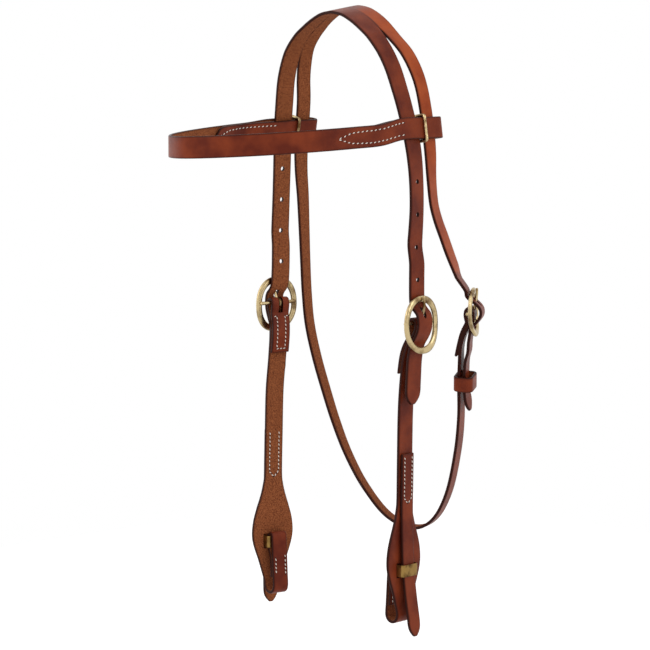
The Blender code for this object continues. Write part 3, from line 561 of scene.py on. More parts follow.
# Layers beside the long strap: its fold-back inside it, and the billet's tail outside it
def besideControl(shares):
    control = []
    for drop, standOff in shares:
        centre, across, run = spotAt(risingRows, throatFrame[0].z + drop * form["length"])
        normal = throatNormal(across, run)
        width = across.normalized() * strap["throatHalfWidth"]
        control.append(controlPoint(centre + normal * standOff * layerStep, width))
    return control


def makeFoldRows():
    control = throatFoldStart()
    control += frameControl(throatFrame, wrapPoints(strap["throatHalfWidth"]))
    control += besideControl(throatFoldBackShares)
    return smoothRows(control, smoothing["profile"])


def cheekTailRows(barPlace, side):
    points = billetPoints(cheekBilletShares, buckle["halfHeight"], strap["halfWidth"],
                          billet["arch"], side)
    return smoothRows(addTip(frameControl(barPlace, points)), smoothing["profile"])


foldMeetDrop = cheek["foldMeet"] * wrapRadius
cheekLine = smoothPoints(((foldMeetDrop / cheek["length"], 0.0, 0.0, 0.0),) + cheekShares,
                         smoothing["corner"])


# Cheekpiece values at a drop below the bar: forward lean, main layer's place, half width
def cheekAt(drop, side):
    share = drop / cheek["length"]
    found = cheekLine[-1]
    for here, there in zip(cheekLine, cheekLine[1:]):
        if here[0] <= share <= there[0]:
            t = (share - here[0]) / (there[0] - here[0])
            found = [a + (b - a) * t for a, b in zip(here, there)]
            break
    half = strap["halfWidth"] + (cheek["paddleHalfWidth"] - strap["halfWidth"]) * found[3]
    wholeLean = cheek["nearLean"] if side > 0 else cheek["farLean"]
    return found[1] * wholeLean, layerOffset - found[2] * cheek["inset"], half


# The cheekpiece from its fold-back end over the buckle bar, down the paddle, round the bit
# loop, up behind the clip, over it, and down to its sewn end
def cheekpiecePoints(side):
    points = []
    reach = (cheek["foldBack"] - foldMeetDrop) / cheek["foldBackSteps"]
    for step in reversed(range(1, cheek["foldBackSteps"] + 1)):
        drop = foldMeetDrop + step * reach
        lean, out, half = cheekAt(drop, side)
        above = cheekAt(drop - buckle["barRadius"], side)[1]
        below = cheekAt(drop + buckle["barRadius"], side)[1]
        slope = math.atan2(above - below, 2 * buckle["barRadius"])
        standOff = layerStep * cheek["foldBackShare"]
        points.append((lean, -drop + standOff * math.sin(slope),
                       out - standOff * math.cos(slope), half))
    points += reversed(wrapPoints(strap["halfWidth"]))
    for dropShare, *_ in cheekShares:
        drop = dropShare * cheek["length"]
        lean, out, half = cheekAt(drop, side)
        points.append((lean, -drop, out, half))
    main = layerOffset - cheek["inset"]
    loopMiddle = main - cheek["loopRadius"]
    curlHalfWidth = strap["halfWidth"] * cheek["curlWidth"]
    for degrees in halfTurnDegrees:
        angle = math.radians(degrees)
        turnedShare = degrees / halfTurnDegrees[-1]
        half = curlHalfWidth + (cheek["returnHalfWidth"] - curlHalfWidth) * turnedShare
        points.append((lean, -cheek["loopDrop"] - cheek["loopRadius"] * math.sin(angle),
                       loopMiddle + cheek["loopRadius"] * math.cos(angle), half))
    clipLine = main - clip["innerReach"]
    foldDrop = clip["drop"] - clip["halfHeight"] + form["gap"]
    behind = main - 2 * cheek["loopRadius"]
    foldStart = clipLine - clipFoldRadius
    for share in returnShares:
        points.append((lean, -cheek["loopDrop"] + (cheek["loopDrop"] - foldDrop) * share,
                       behind + (foldStart - behind) * share, cheek["returnHalfWidth"]))
    for degrees in halfTurnDegrees:
        angle = math.radians(degrees)
        points.append((lean, -foldDrop + clipFoldRadius * math.sin(angle),
                       clipLine - clipFoldRadius * math.cos(angle), cheek["returnHalfWidth"]))
    clipBottom = clip["drop"] + clip["halfHeight"] + form["gap"]
    for drop in (clip["drop"], clipBottom):
        points.append((lean, -drop, clipLine + clipFoldRadius, cheek["returnHalfWidth"]))
    climb = cheek["loopDrop"] - foldDrop
    for share in sewnEndShares:
        drop = clipBottom + (cheek["returnEnd"] - clipBottom) * share
        back = behind + (foldStart - behind) * (cheek["loopDrop"] - drop) / climb
        points.append((lean, -drop, back + layerStep, cheek["returnHalfWidth"]))
    return points


# Forward is minus u on the near side and plus u on the far side
def leaned(points, side):
    return [(-side * lean, v, n, half) for lean, v, n, half in points]


# Plane of the two straps that the browband goes round on one side: a point on the front
# strap, directions along and up the straps, outward normal, and how far back the rear one is
def cheekPlane(side, rearRows):
    level = -browband["drop"] + side * browband["roll"]
    frontCentre, _, frontRun = spotAt(frontRows[side], level)
    rearCentre, _, rearRun = spotAt(rearRows, level)
    along = rearCentre - frontCentre
    along.z = 0.0
    back = along.length
    along.normalize()
    up = frontRun + rearRun
    up -= along * up.dot(along)
    up.normalize()
    normal = along.cross(up) * side
    return frontCentre, along, up, normal, back


nearPlane = cheekPlane(1.0, nearRearRows)
farPlane = cheekPlane(-1.0, farRearRows)


def planeSpot(plane, alongBy, upBy, outBy):
    centre, along, up, normal = plane[:4]
    return centre + along * alongBy + up * upBy + normal * outBy


# Browband ahead of the cheeks: half an oval that droops to the middle and rolls a little
def frontControl(side, angleDegrees, inset):
    angle = math.radians(angleDegrees)
    place = Vector((side * browband["halfSpan"] * math.cos(angle),
                    -browband["setback"] - browband["reach"] * math.sin(angle), 0.0))
    outward = Vector((side * browband["reach"] * math.cos(angle),
                      -browband["halfSpan"] * math.sin(angle), 0.0)).normalized()
    place -= outward * inset
    droopPower = browband["nearDroopPower"] if side > 0 else 1
    place.z = (-browband["drop"] + browband["roll"] * place.x / browband["halfSpan"]
               - browband["droop"] * math.sin(angle) ** droopPower)
    return controlPoint(place, Vector((0.0, 0.0, browband["halfHeight"])))


# One side of the browband from the start of its oval, round the two straps, to the inner
# flap's tip
def browbandSide(side, plane):
    back = plane[4] + strap["throatHalfWidth"] + browband["rearPlay"]
    across = plane[2] * browband["halfHeight"]
    places = [(-browband["lead"], browbandSpacing), (back / 2, browbandSpacing)]
    for degrees in halfTurnDegrees:
        angle = math.radians(degrees)
        places.append((back + browbandSpacing * math.sin(angle),
                       browbandSpacing * math.cos(angle)))
    places += [(back / 2, -browbandSpacing), (-browband["lead"], -browbandSpacing)]
    control = [controlPoint(planeSpot(plane, s, 0.0, n), across) for s, n in places]
    for angle, distance in flapShares:
        control.append(frontControl(side, angle, distance * layerStep))
    return addTip(control)


# Distances along a run of rows
def measureRows(rows):
    lengths = [0.0]
    for here, there in zip(rows, rows[1:]):
        lengths.append(lengths[-1] + (there[0] - here[0]).length)
    return lengths


def rowAt(rows, lengths, distance):
    for index in range(len(rows) - 1):
        if distance <= lengths[index + 1]:
            break
    span = lengths[index + 1] - lengths[index]
    t = (distance - lengths[index]) / span
    here, there = rows[index], rows[index + 1]
    return here[0].lerp(there[0], t), here[1].lerp(there[1], t)


# Rows are kept where the strap has gone a step further or has turned enough
def thinRows(rows):
    kept = [rows[0]]
    lastRun = rows[1][0] - rows[0][0]
    for index in range(1, len(rows) - 1):
        run = rows[index + 1][0] - rows[index - 1][0]
        step = (rows[index][0] - kept[-1][0]).length
        turned = run.length > 0 and run.angle(lastRun, 0.0) > strap["rowTurn"]
        if step > strap["rowStep"] or (turned and step > form["gap"]):
            kept.append(rows[index])
            lastRun = run
    if (kept[-1][0] - rows[-1][0]).length < form["gap"] and len(kept) > 1:
        kept.pop()
    kept.append(rows[-1])
    return kept


# The empty stretch between two runs, filled on one smooth curve
def joinRows(first, second):
    start, end = first[-1], second[0]
    reach = (end[0] - start[0]).length
    leave = (start[0] - first[-3][0]).normalized() * reach
    arrive = (second[2][0] - end[0]).normalized() * reach
    between = []
    steps = max(2, round(reach / strap["rowStep"]))
    for step in range(1, steps):
        t = step / steps
        centre = (start[0] * (2 * t ** 3 - 3 * t * t + 1) + leave * (t ** 3 - 2 * t * t + t)
                  + end[0] * (3 * t * t - 2 * t ** 3) + arrive * (t ** 3 - t * t))
        between.append((centre, start[1].lerp(end[1], t)))
    return first + between + second


# A free end is rounded over its thickness: rows close together, that grow thinner
def roundEnds(rows, atStart=True, atEnd=True):
    lengths = measureRows(rows)
    total = lengths[-1]
    marks = [strap["corner"] * share for share in (1.0, 0.45, 0.13, 0.0)]
    low = marks[0] * 1.2 if atStart else -1.0
    high = total - marks[0] * 1.2 if atEnd else total + 1.0
    inner = [row for row, length in zip(rows, lengths) if low < length < high]
    start = [rowAt(rows, lengths, mark) for mark in reversed(marks)] if atStart else []
    end = [rowAt(rows, lengths, total - mark) for mark in marks] if atEnd else []
    return start + inner + end


def smoothStep(value):
    value = min(max(value, 0.0), 1.0)
    return value * value * (3 - 2 * value)


# A strap's section as (across, out, side, edge distance): grain face, high rim, flesh face,
# low rim. A rim whose fade is 0 is a straight line, where the slit begins
def sectionPoints(half, halfDepth, corner, lowFade, highFade):
    columns = strap["columns"]
    radius = min(corner, half * 0.85)
    depthRadius = min(radius, halfDepth)
    low = -half + radius * lowFade
    high = half - radius * highFade
    face = []
    for column in range(columns + 1):
        a = low + (high - low) * column / columns
        edge = min((half + a) / max(lowFade, 0.02), (half - a) / max(highFade, 0.02))
        face.append((a, edge))
    rim = []
    rimSteps = strap["rimSteps"]
    for step in range(1, rimSteps + 1):
        mirrored = step > rimSteps // 2
        angle = math.pi / rimSteps * (rimSteps + 1 - step if mirrored else step)
        b = halfDepth - depthRadius + depthRadius * math.cos(angle)
        rim.append((half - radius + radius * math.sin(angle), -b if mirrored else b,
                    1.0 - 2.0 * step / (rimSteps + 1)))

    def rimSpots(sign, fade):
        spots = []
        for a, b, side in rim:
            straight = halfDepth * side
            spots.append((sign * (half + (a - half) * fade), straight + (b - straight) * fade,
                          side, 0.0 if fade > 0.5 else half))
        return spots

    points = [(a, halfDepth, 1.0, edge) for a, edge in face]
    points += rimSpots(1.0, highFade)
    points += [(a, -halfDepth, -1.0, edge) for a, edge in reversed(face)]
    points += reversed(rimSpots(-1.0, lowFade))
    return points


# The last layer holds each point's share of painted sheen
shadingLayers = ("along", "across", "edge", "side", "tone")


def newBuilder():
    builder = bmesh.new()
    for name in shadingLayers:
        builder.verts.layers.float.new(name)
    return builder


# One leather strap on its rows. Grain is the sign of the normal that the grain side faces.
# A seam leaves one rim out between two rows, where the strap is joined to its neighbour
def addStrap(builder, rows, grain, thickness=strap["thickness"], corner=strap["corner"],
             closed=False, seamSide=0, seamRows=None, normals=None):
    layers = [builder.verts.layers.float[name] for name in shadingLayers]
    lengths = measureRows(rows)
    total = lengths[-1]
    count = len(rows)
    columns = strap["columns"]
    rimSteps = strap["rimSteps"]
    highRim = range(columns + 1, columns + 1 + rimSteps)
    lowRim = range(2 * (columns + 1) + rimSteps, 2 * (columns + 1 + rimSteps))
    made = []
    usedNormals = []
    for index, (centre, across) in enumerate(rows):
        before = rows[index - 1] if index or closed else rows[0]
        after = rows[(index + 1) % count] if index < count - 1 or closed else rows[-1]
        half = across.length
        direction = across / half
        normal = direction.cross(after[0] - before[0]).normalized() * grain
        if normals and index in normals:
            normal = normals[index]
        usedNormals.append(normal)
        halfDepth = thickness / 2
        fromEnd = total if closed else min(lengths[index], total - lengths[index])
        if fromEnd < corner:
            flat = 1.0 - corner / halfDepth
            halfDepth *= flat + (1 - flat) * math.sqrt(1 - (1 - fromEnd / corner) ** 2)
        fades = {-1: 1.0, 1: 1.0}
        hidden = ()
        toSlit = -1.0
        if seamSide:
            first, last = seamRows
            toSlit = min(lengths[index] - lengths[first], lengths[last] - lengths[index])
            away = max(lengths[first] - lengths[index], lengths[index] - lengths[last], 0.0)
            fades[seamSide] = smoothStep(away / strap["slitFade"])
            if first < index < last:
                hidden = highRim if seamSide > 0 else lowRim
        section = []
        spots = sectionPoints(half, halfDepth, corner, fades[-1], fades[1])
        for place, (a, b, side, edge) in enumerate(spots):
            if place in hidden:
                section.append(None)
                continue
            if 0 <= toSlit < strap["cutLine"]:
                fade = strap["cutFade"] * toSlit / strap["cutLine"]
                edge = min(edge, half - seamSide * a + fade)
            vertex = builder.verts.new(centre + direction * a + normal * b)
            values = (lengths[index], a, min(edge, fromEnd) * 1000, side, 0.0)
            for layer, value in zip(layers, values):
                vertex[layer] = value
            section.append(vertex)
        made.append(section)
    size = len(made[0])
    for index in range(count if closed else count - 1):
        here, there = made[index], made[(index + 1) % count]
        inSeam = seamSide and seamRows[0] <= index < seamRows[1]
        rim = highRim if seamSide > 0 else lowRim
        for place in range(size):
            following = (place + 1) % size
            if inSeam and (place in rim or following in rim):
                continue
            corners = (here[place], here[following], there[following], there[place])
            if None not in corners:
                builder.faces.new(corners)
    if not closed:
        builder.faces.new([vertex for vertex in made[0] if vertex])
        builder.faces.new([vertex for vertex in made[-1] if vertex])
    return usedNormals


# The shading values go from the points to the corners, which a cut keeps
def builtMesh(builder, name):
    layers = {name: builder.verts.layers.float[name] for name in shadingLayers}
    maps = (("strap", "along", "across"), ("edge", "edge", "side"), ("tone", "tone", "tone"))
    for mapName, first, second in maps:
        uvLayer = builder.loops.layers.uv.new(mapName)
        for face in builder.faces:
            for loop in face.loops:
                loop[uvLayer].uv = (loop.vert[layers[first]], loop.vert[layers[second]])
    mesh = bpy.data.meshes.new(name)
    builder.to_mesh(mesh)
    builder.free()
    return mesh


def addPiece(name, mesh, material, body, slot, *nodes):
    piece = bpy.data.objects.new(name, mesh)
    bpy.context.scene.collection.objects.link(piece)
    mesh.materials.clear()
    mesh.materials.append(material)
    mesh.shade_smooth()
    mesh.set_sharp_from_angle(angle=math.radians(strap["sharpDegrees"]))
    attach(piece, body)
    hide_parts(*nodes)


def strapMesh(builder, name, cutter=None):
    bmesh.ops.remove_doubles(builder, verts=builder.verts, dist=2e-6)
    bmesh.ops.recalc_face_normals(builder, faces=builder.faces)
    mesh = builtMesh(builder, name)
    if cutter is None:
        return mesh
    bmesh.ops.recalc_face_normals(cutter, faces=cutter.faces)
    body = bpy.data.objects.new(name + "Uncut", mesh)
    tool = bpy.data.objects.new(name + "Tool", builtMesh(cutter, name + "Tool"))
    for holder in (body, tool):
        bpy.context.scene.collection.objects.link(holder)
    cut = body.modifiers.new("holes", "BOOLEAN")
    cut.operation = "DIFFERENCE"
    cut.solver = "EXACT"
    cut.object = tool
    evaluated = body.evaluated_get(bpy.context.evaluated_depsgraph_get())
    result = bpy.data.meshes.new_from_object(evaluated)
    bpy.data.objects.remove(body)
    bpy.data.objects.remove(tool)
    return result


def addRod(builder, start, end, radius, sides, stretchAxis=None, stretch=1.0):
    span = end - start
    rod = bmesh.ops.create_cone(builder, cap_ends=True, cap_tris=False, segments=sides,
                                radius1=radius, radius2=radius, depth=span.length)
    turn = span.to_track_quat("Z", "Y").to_matrix()
    for vertex in rod["verts"]:
        spot = turn @ vertex.co
        if stretchAxis is not None:
            spot += stretchAxis * spot.dot(stretchAxis) * (stretch - 1.0)
        vertex.co = spot + (start + end) / 2


def addBox(builder, place, low, high):
    box = bmesh.ops.create_cube(builder, size=1.0)
    middle = (Vector(low) + Vector(high)) / 2
    size = Vector(high) - Vector(low)
    for vertex in box["verts"]:
        spot = Vector(side * length for side, length in zip(vertex.co, size)) + middle
        vertex.co = toWorld(place, spot.x, spot.y, spot.z)


def addTongueHole(builder, place, level, halfLength):
    up = place[1] @ Vector((0.0, 1.0, 0.0))
    addRod(builder, toWorld(place, 0.0, level, 0.0), toWorld(place, 0.0, level, holes["reach"]),
           holes["radius"], holes["sides"], up, halfLength / holes["radius"])


def addTongueSlot(builder, place):
    reach = wrapOutside + form["gap"]
    addBox(builder, place, (-holes["slotHalfWidth"], -holes["slotDepth"], -reach),
           (holes["slotHalfWidth"], reach, reach))


# Round tube along points, with a radius at each
def addTube(builder, points, radii, sides, closed=False):
    count = len(points)
    normal = None
    made = []
    for index, point in enumerate(points):
        before = points[index - 1] if index or closed else points[0]
        after = points[(index + 1) % count] if index < count - 1 or closed else points[-1]
        run = (after - before).normalized()
        if normal is None:
            normal = run.orthogonal().normalized()
        normal = (normal - run * normal.dot(run)).normalized()
        other = run.cross(normal)
        ring = []
        for side in range(sides):
            angle = 2 * math.pi * side / sides
            offset = normal * math.cos(angle) + other * math.sin(angle)
            ring.append(builder.verts.new(point + offset * radii[index]))
        made.append(ring)
    for index in range(count if closed else count - 1):
        here, there = made[index], made[(index + 1) % count]
        shift = 0
        if closed and index == count - 1:
            shift = min(range(sides), key=lambda k: (there[k].co - here[0].co).length)
        for side in range(sides):
            following = (side + 1) % sides
            builder.faces.new((here[side], here[following],
                               there[(following + shift) % sides], there[(side + shift) % sides]))
    if not closed:
        builder.faces.new(made[0])
        builder.faces.new(made[-1])


# A tube's end drawn in to a dome
def domedEnd(points, radii):
    step = (points[-1] - points[-2]).normalized()
    radius = radii[-1]
    domedPoints = list(points)
    domedRadii = list(radii)
    for degrees in (25, 50, 70, 84):
        angle = math.radians(degrees)
        domedPoints.append(points[-1] + step * radius * math.sin(angle))
        domedRadii.append(radius * math.cos(angle))
    return domedPoints, domedRadii


def metalMesh(builder, name):
    bmesh.ops.recalc_face_normals(builder, faces=builder.faces)
    mesh = bpy.data.meshes.new(name)
    builder.to_mesh(mesh)
    builder.free()
    return mesh


# Materials
def hexColour(code):
    channels = []
    for start in (1, 3, 5):
        value = int(code[start:start + 2], 16) / 255
        channels.append(value / 12.92 if value <= 0.04045 else ((value + 0.055) / 1.055) ** 2.4)
    return (*channels, 1.0)


# A node with its settings, input values and links
def addNode(tree, kind, settings=None, values=None, links=None):
    node = tree.nodes.new(kind)
    for name, value in (settings or {}).items():
        setattr(node, name, value)
    for name, value in (values or {}).items():
        node.inputs[name].default_value = value
    for name, source in (links or {}).items():
        tree.links.new(source, node.inputs[name])
    return node


def newMaterial(name):
    material = bpy.data.materials.new(name)
    material.use_nodes = True
    tree = material.node_tree
    return material, tree, tree.nodes["Principled BSDF"]


leatherTones = {
    "grainDeep": "#632516",
    "grainLight": "#84391f",
    # painted sheen: a more orange copy of the grain colours, for the near rear strap
    "paintedSheenDeep": "#983f1c",
    "paintedSheenLight": "#b05228",
    "fleshDeep": "#5c2c1a",
    "fleshLight": "#a8633c",
    "rim": "#2e0f09",
}


# Vegetable-tanned harness leather, dyed through and oiled: a closed, slightly glossy grain
# side, a matt fibrous flesh side, and edges that are dyed dark and burnished with wax
def makeHarnessLeather():
    material, tree, shader = newMaterial("oiledHarnessLeather")
    place = addNode(tree, "ShaderNodeTexCoord").outputs["Object"]
    edgeMap = addNode(tree, "ShaderNodeUVMap", {"uv_map": "edge"}).outputs["UV"]
    edge = addNode(tree, "ShaderNodeSeparateXYZ", links={"Vector": edgeMap})
    # Share of painted sheen, carried on its own map
    paintedSheenShareMap = addNode(tree, "ShaderNodeUVMap", {"uv_map": "tone"}).outputs["UV"]
    tone = addNode(tree, "ShaderNodeSeparateXYZ", links={"Vector": paintedSheenShareMap}).outputs["X"]
    # Dye clouds about 20 mm wide, pores about 0.7 mm, flesh fibres about 1 mm
    clouds = addNode(tree, "ShaderNodeTexNoise", values={"Scale": 50.0, "Detail": 4.0},
                     links={"Vector": place}).outputs["Fac"]
    pores = addNode(tree, "ShaderNodeTexVoronoi", values={"Scale": 1400.0},
                    links={"Vector": place}).outputs["Distance"]
    fibres = addNode(tree, "ShaderNodeTexNoise",
                     values={"Scale": 1000.0, "Detail": 5.0, "Roughness": 0.7},
                     links={"Vector": place}).outputs["Fac"]
    cloudShare = addNode(tree, "ShaderNodeMapRange",
                         values={"From Min": 0.35, "From Max": 0.65},
                         links={"Value": clouds}).outputs["Result"]
    fibreShare = addNode(tree, "ShaderNodeMapRange",
                         values={"From Min": 0.36, "From Max": 0.62},
                         links={"Value": fibres}).outputs["Result"]
    grainMask = addNode(tree, "ShaderNodeMapRange", {"interpolation_type": "SMOOTHSTEP"},
                        {"From Min": 0.4, "From Max": 0.85},
                        {"Value": edge.outputs["Y"]}).outputs["Result"]
    fleshMask = addNode(tree, "ShaderNodeMapRange", {"interpolation_type": "SMOOTHSTEP"},
                        {"From Min": -0.4, "From Max": -0.85},
                        {"Value": edge.outputs["Y"]}).outputs["Result"]

    def mixColours(share, first, second):
        mix = tree.nodes.new("ShaderNodeMix")
        mix.data_type = "RGBA"
        tree.links.new(share, mix.inputs[0])
        for socket, colour in ((mix.inputs[6], first), (mix.inputs[7], second)):
            if isinstance(colour, str):
                socket.default_value = hexColour(colour)
            else:
                tree.links.new(colour, socket)
        return mix.outputs[2]

    grain = mixColours(cloudShare, leatherTones["grainDeep"], leatherTones["grainLight"])
    # Painted sheen: the near rear strap takes a more orange copy of the grain colour
    paintedSheenStrap = mixColours(cloudShare, leatherTones["paintedSheenDeep"], leatherTones["paintedSheenLight"])
    grain = mixColours(tone, grain, paintedSheenStrap)
    flesh = mixColours(fibreShare, leatherTones["fleshDeep"], leatherTones["fleshLight"])
    colour = mixColours(grainMask, leatherTones["rim"], grain)
    colour = mixColours(fleshMask, colour, flesh)
    # The edge dye bleeds a millimetre and a half onto the faces
    bleed = addNode(tree, "ShaderNodeMapRange", {"interpolation_type": "SMOOTHSTEP"},
                    {"From Min": 0.3, "From Max": 1.9, "To Min": 0.55, "To Max": 0.0},
                    {"Value": edge.outputs["X"]}).outputs["Result"]
    colour = mixColours(bleed, colour, leatherTones["rim"])
    tree.links.new(colour, shader.inputs["Base Color"])
    shader.inputs["Specular IOR Level"].default_value = 0.1
    roughness = addNode(tree, "ShaderNodeMapRange",
                        values={"To Min": 0.36, "To Max": 0.9},
                        links={"Value": fleshMask}).outputs["Result"]
    tree.links.new(roughness, shader.inputs["Roughness"])
    faceHeight = addNode(tree, "ShaderNodeMath", {"operation": "MULTIPLY"},
                         {1: 0.35}, {0: pores}).outputs["Value"]
    height = addNode(tree, "ShaderNodeMix", links={"Factor": fleshMask, "A": faceHeight,
                                                   "B": fibres}).outputs[0]
    bump = addNode(tree, "ShaderNodeBump", values={"Strength": 0.35, "Distance": 0.0004},
                   links={"Height": height})
    tree.links.new(bump.outputs["Normal"], shader.inputs["Normal"])
    return material


brassTones = {"clean": "#c9b488", "aged": "#664a2a"}
stripTones = {"clean": "#9c7c46", "aged": "#4a3016"}


# Brass with years of handling: bright where it is rubbed, brown in patches. Cast rings are
# smoother than rolled strip, which shows its rolling
def makeBrass(name, roughness, patchScale, tones):
    material, tree, shader = newMaterial(name)
    place = addNode(tree, "ShaderNodeTexCoord").outputs["Object"]
    patches = addNode(tree, "ShaderNodeTexNoise", values={"Scale": patchScale, "Detail": 6.0},
                      links={"Vector": place}).outputs["Fac"]
    ramp = addNode(tree, "ShaderNodeValToRGB", links={"Fac": patches})
    ramp.color_ramp.elements[0].position = 0.34
    ramp.color_ramp.elements[0].color = hexColour(tones["aged"])
    ramp.color_ramp.elements[1].position = 0.54
    ramp.color_ramp.elements[1].color = hexColour(tones["clean"])
    tree.links.new(ramp.outputs["Color"], shader.inputs["Base Color"])
    shader.inputs["Metallic"].default_value = 1.0
    gloss = addNode(tree, "ShaderNodeMapRange",
                    values={"To Min": roughness + 0.12, "To Max": roughness},
                    links={"Value": patches}).outputs["Result"]
    tree.links.new(gloss, shader.inputs["Roughness"])
    dents = addNode(tree, "ShaderNodeTexNoise", values={"Scale": 700.0, "Detail": 3.0},
                    links={"Vector": place}).outputs["Fac"]
    bump = addNode(tree, "ShaderNodeBump", values={"Strength": 0.15, "Distance": 0.0002},
                   links={"Height": dents})
    tree.links.new(bump.outputs["Normal"], shader.inputs["Normal"])
    return material


# A matt material speckled between two colours
def makeSpeckled(name, scale, dark, light, roughness):
    material, tree, shader = newMaterial(name)
    place = addNode(tree, "ShaderNodeTexCoord").outputs["Object"]
    speckles = addNode(tree, "ShaderNodeTexNoise", values={"Scale": scale, "Detail": 2.0},
                       links={"Vector": place}).outputs["Fac"]
    ramp = addNode(tree, "ShaderNodeValToRGB", links={"Fac": speckles})
    ramp.color_ramp.elements[0].color = hexColour(dark)
    ramp.color_ramp.elements[1].color = hexColour(light)
    tree.links.new(ramp.outputs["Color"], shader.inputs["Base Color"])
    shader.inputs["Roughness"].default_value = roughness
    return material


harnessLeather = makeHarnessLeather()
castBrass = makeBrass("castBrass", 0.2, 90.0, brassTones)
brassWire = makeBrass("drawnBrassWire", 0.22, 160.0, brassTones)
rolledBrass = makeBrass("rolledBrassStrip", 0.3, 120.0, stripTones)
# Linen thread, waxed, twisted and off-white
waxedThread = makeSpeckled("waxedLinenThread", 2500.0, "#cdbfae", "#fbf6ee", 0.6)
# Painted shade: a dark bead beside each stitch stands for the shadow in its pricked hole
paintedPrickShade = makeSpeckled("paintedPrickHoleShade", 1500.0, "#1b0906", "#38160f", 0.8)
print("materials made")


# One strap as a finished piece that replaces its solid
def strapPiece(name, body, node, rows, grain, cutter=None, material=harnessLeather,
               slot="leather", **shape):
    builder = newBuilder()
    addStrap(builder, rows, grain, **shape)
    addPiece(name, strapMesh(builder, name, cutter), material, body, slot, node)


# Where the painted sheen on the near rear strap reaches, and how fast it fades in
paintedSheen = {"lowest": -0.215, "edgeBlend": 0.0012, "sideBlend": 0.02}


# Crownpiece: the front strip from tail to tail and the rear strip behind it are one leather
# over the crown, and the slit parts them on each side
def makeCrownpiece():
    nearTail = cheekTailRows(nearFrame, 1.0)
    farTail = [(centre, -across) for centre, across in cheekTailRows(farFrame, -1.0)]
    arch = thinRows(list(reversed(frontRows[-1.0][:sharedRow + 1])) + frontRows[1.0][1:sharedRow + 1])
    nearPart = thinRows(joinRows(frontRows[1.0][sharedRow:], nearTail))
    farPart = thinRows(joinRows(frontRows[-1.0][sharedRow:], farTail))
    farPart = list(reversed(roundEnds(farPart, atStart=False)))
    nearPart = roundEnds(nearPart, atStart=False)
    front = farPart[:-1] + arch + nearPart[1:]
    first = len(farPart) - 1
    last = first + len(arch) - 1

    share = strap["throatHalfWidth"] * nearRearPathShares[0][4] / strap["halfWidth"]
    rearArch = [(centre + across * (1.0 + share), across * share) for centre, across in arch]
    points = billetPoints(throatBilletShares, buckle["throatHalfHeight"], strap["throatHalfWidth"],
                          billet["throatArch"], 1.0)
    tail = frameControl(throatFrame, points) + besideControl(throatTailShares)
    throatTail = smoothRows(addTip(tail), smoothing["profile"])
    nearBranch = roundEnds(thinRows(joinRows(nearRearRows, throatTail)), atStart=False)
    farBranch = roundEnds(thinRows(joinRows(farRearRows, makeFoldRows())), atStart=False)
    farBranch = list(reversed(farBranch))
    rear = farBranch[:-1] + rearArch + nearBranch[1:]
    rearFirst = len(farBranch) - 1
    rearLast = rearFirst + len(rearArch) - 1

    builder = newBuilder()
    normals = addStrap(builder, front, -1.0, seamSide=1, seamRows=(first, last))
    shared = {rearFirst + step: normals[first + step] for step in range(len(arch))}
    addStrap(builder, rear, -1.0, seamSide=-1, seamRows=(rearFirst, rearLast), normals=shared)
    # Painted sheen: the near rear strap is painted in a more orange copy of the grain colours,
    # standing in for the sheen on it
    paintedSheenShareLayer = builder.verts.layers.float["tone"]
    for vertex in builder.verts:
        spot = vertex.co
        if spot.x > 0 and spot.z > paintedSheen["lowest"] and spot.y > 0.0:
            vertex[paintedSheenShareLayer] = rearPaintedSheen(spot)

    cutter = newBuilder()
    for side, place in ((1.0, nearFrame), (-1.0, farFrame)):
        addFreeHoles(cutter, frontRows[side] + cheekTailRows(place, side), place)
        addTongueHole(cutter, place, holes["cheekShare"] * buckle["halfHeight"],
                      holes["cheekHalfLength"])
    addTongueHole(cutter, throatFrame, holes["throatShare"] * buckle["throatHalfHeight"],
                  holes["throatHalfLength"])
    addTongueSlot(cutter, throatFrame)
    mesh = strapMesh(builder, "crownLeather", cutter)
    addPiece("crownLeather", mesh, harnessLeather, "crown", "leather", "crownpiece")
    return rear


# How much painted sheen a place on the near side takes: all of the rear strap, none of the front one
def rearPaintedSheen(spot):
    edge = -form["gap"]
    if spot.z < frontRows[1.0][sharedRow][0].z:
        edge = spotAt(frontRows[1.0], spot.z)[0].y + strap["halfWidth"]
    return (smoothStep((spot.y - edge) / paintedSheen["edgeBlend"])
            * smoothStep(spot.x / paintedSheen["sideBlend"]))


def addFreeHoles(cutter, rows, place):
    first = place[0].z + holes["firstShare"] * buckle["halfHeight"]
    for index in range(1, holes["count"] + 1):
        centre, across, run = spotAt(rows, first + index * holes["pitch"])
        normal = across.cross(run).normalized() * holes["reach"] / 2
        addRod(cutter, centre - normal, centre + normal, holes["radius"], holes["sides"])


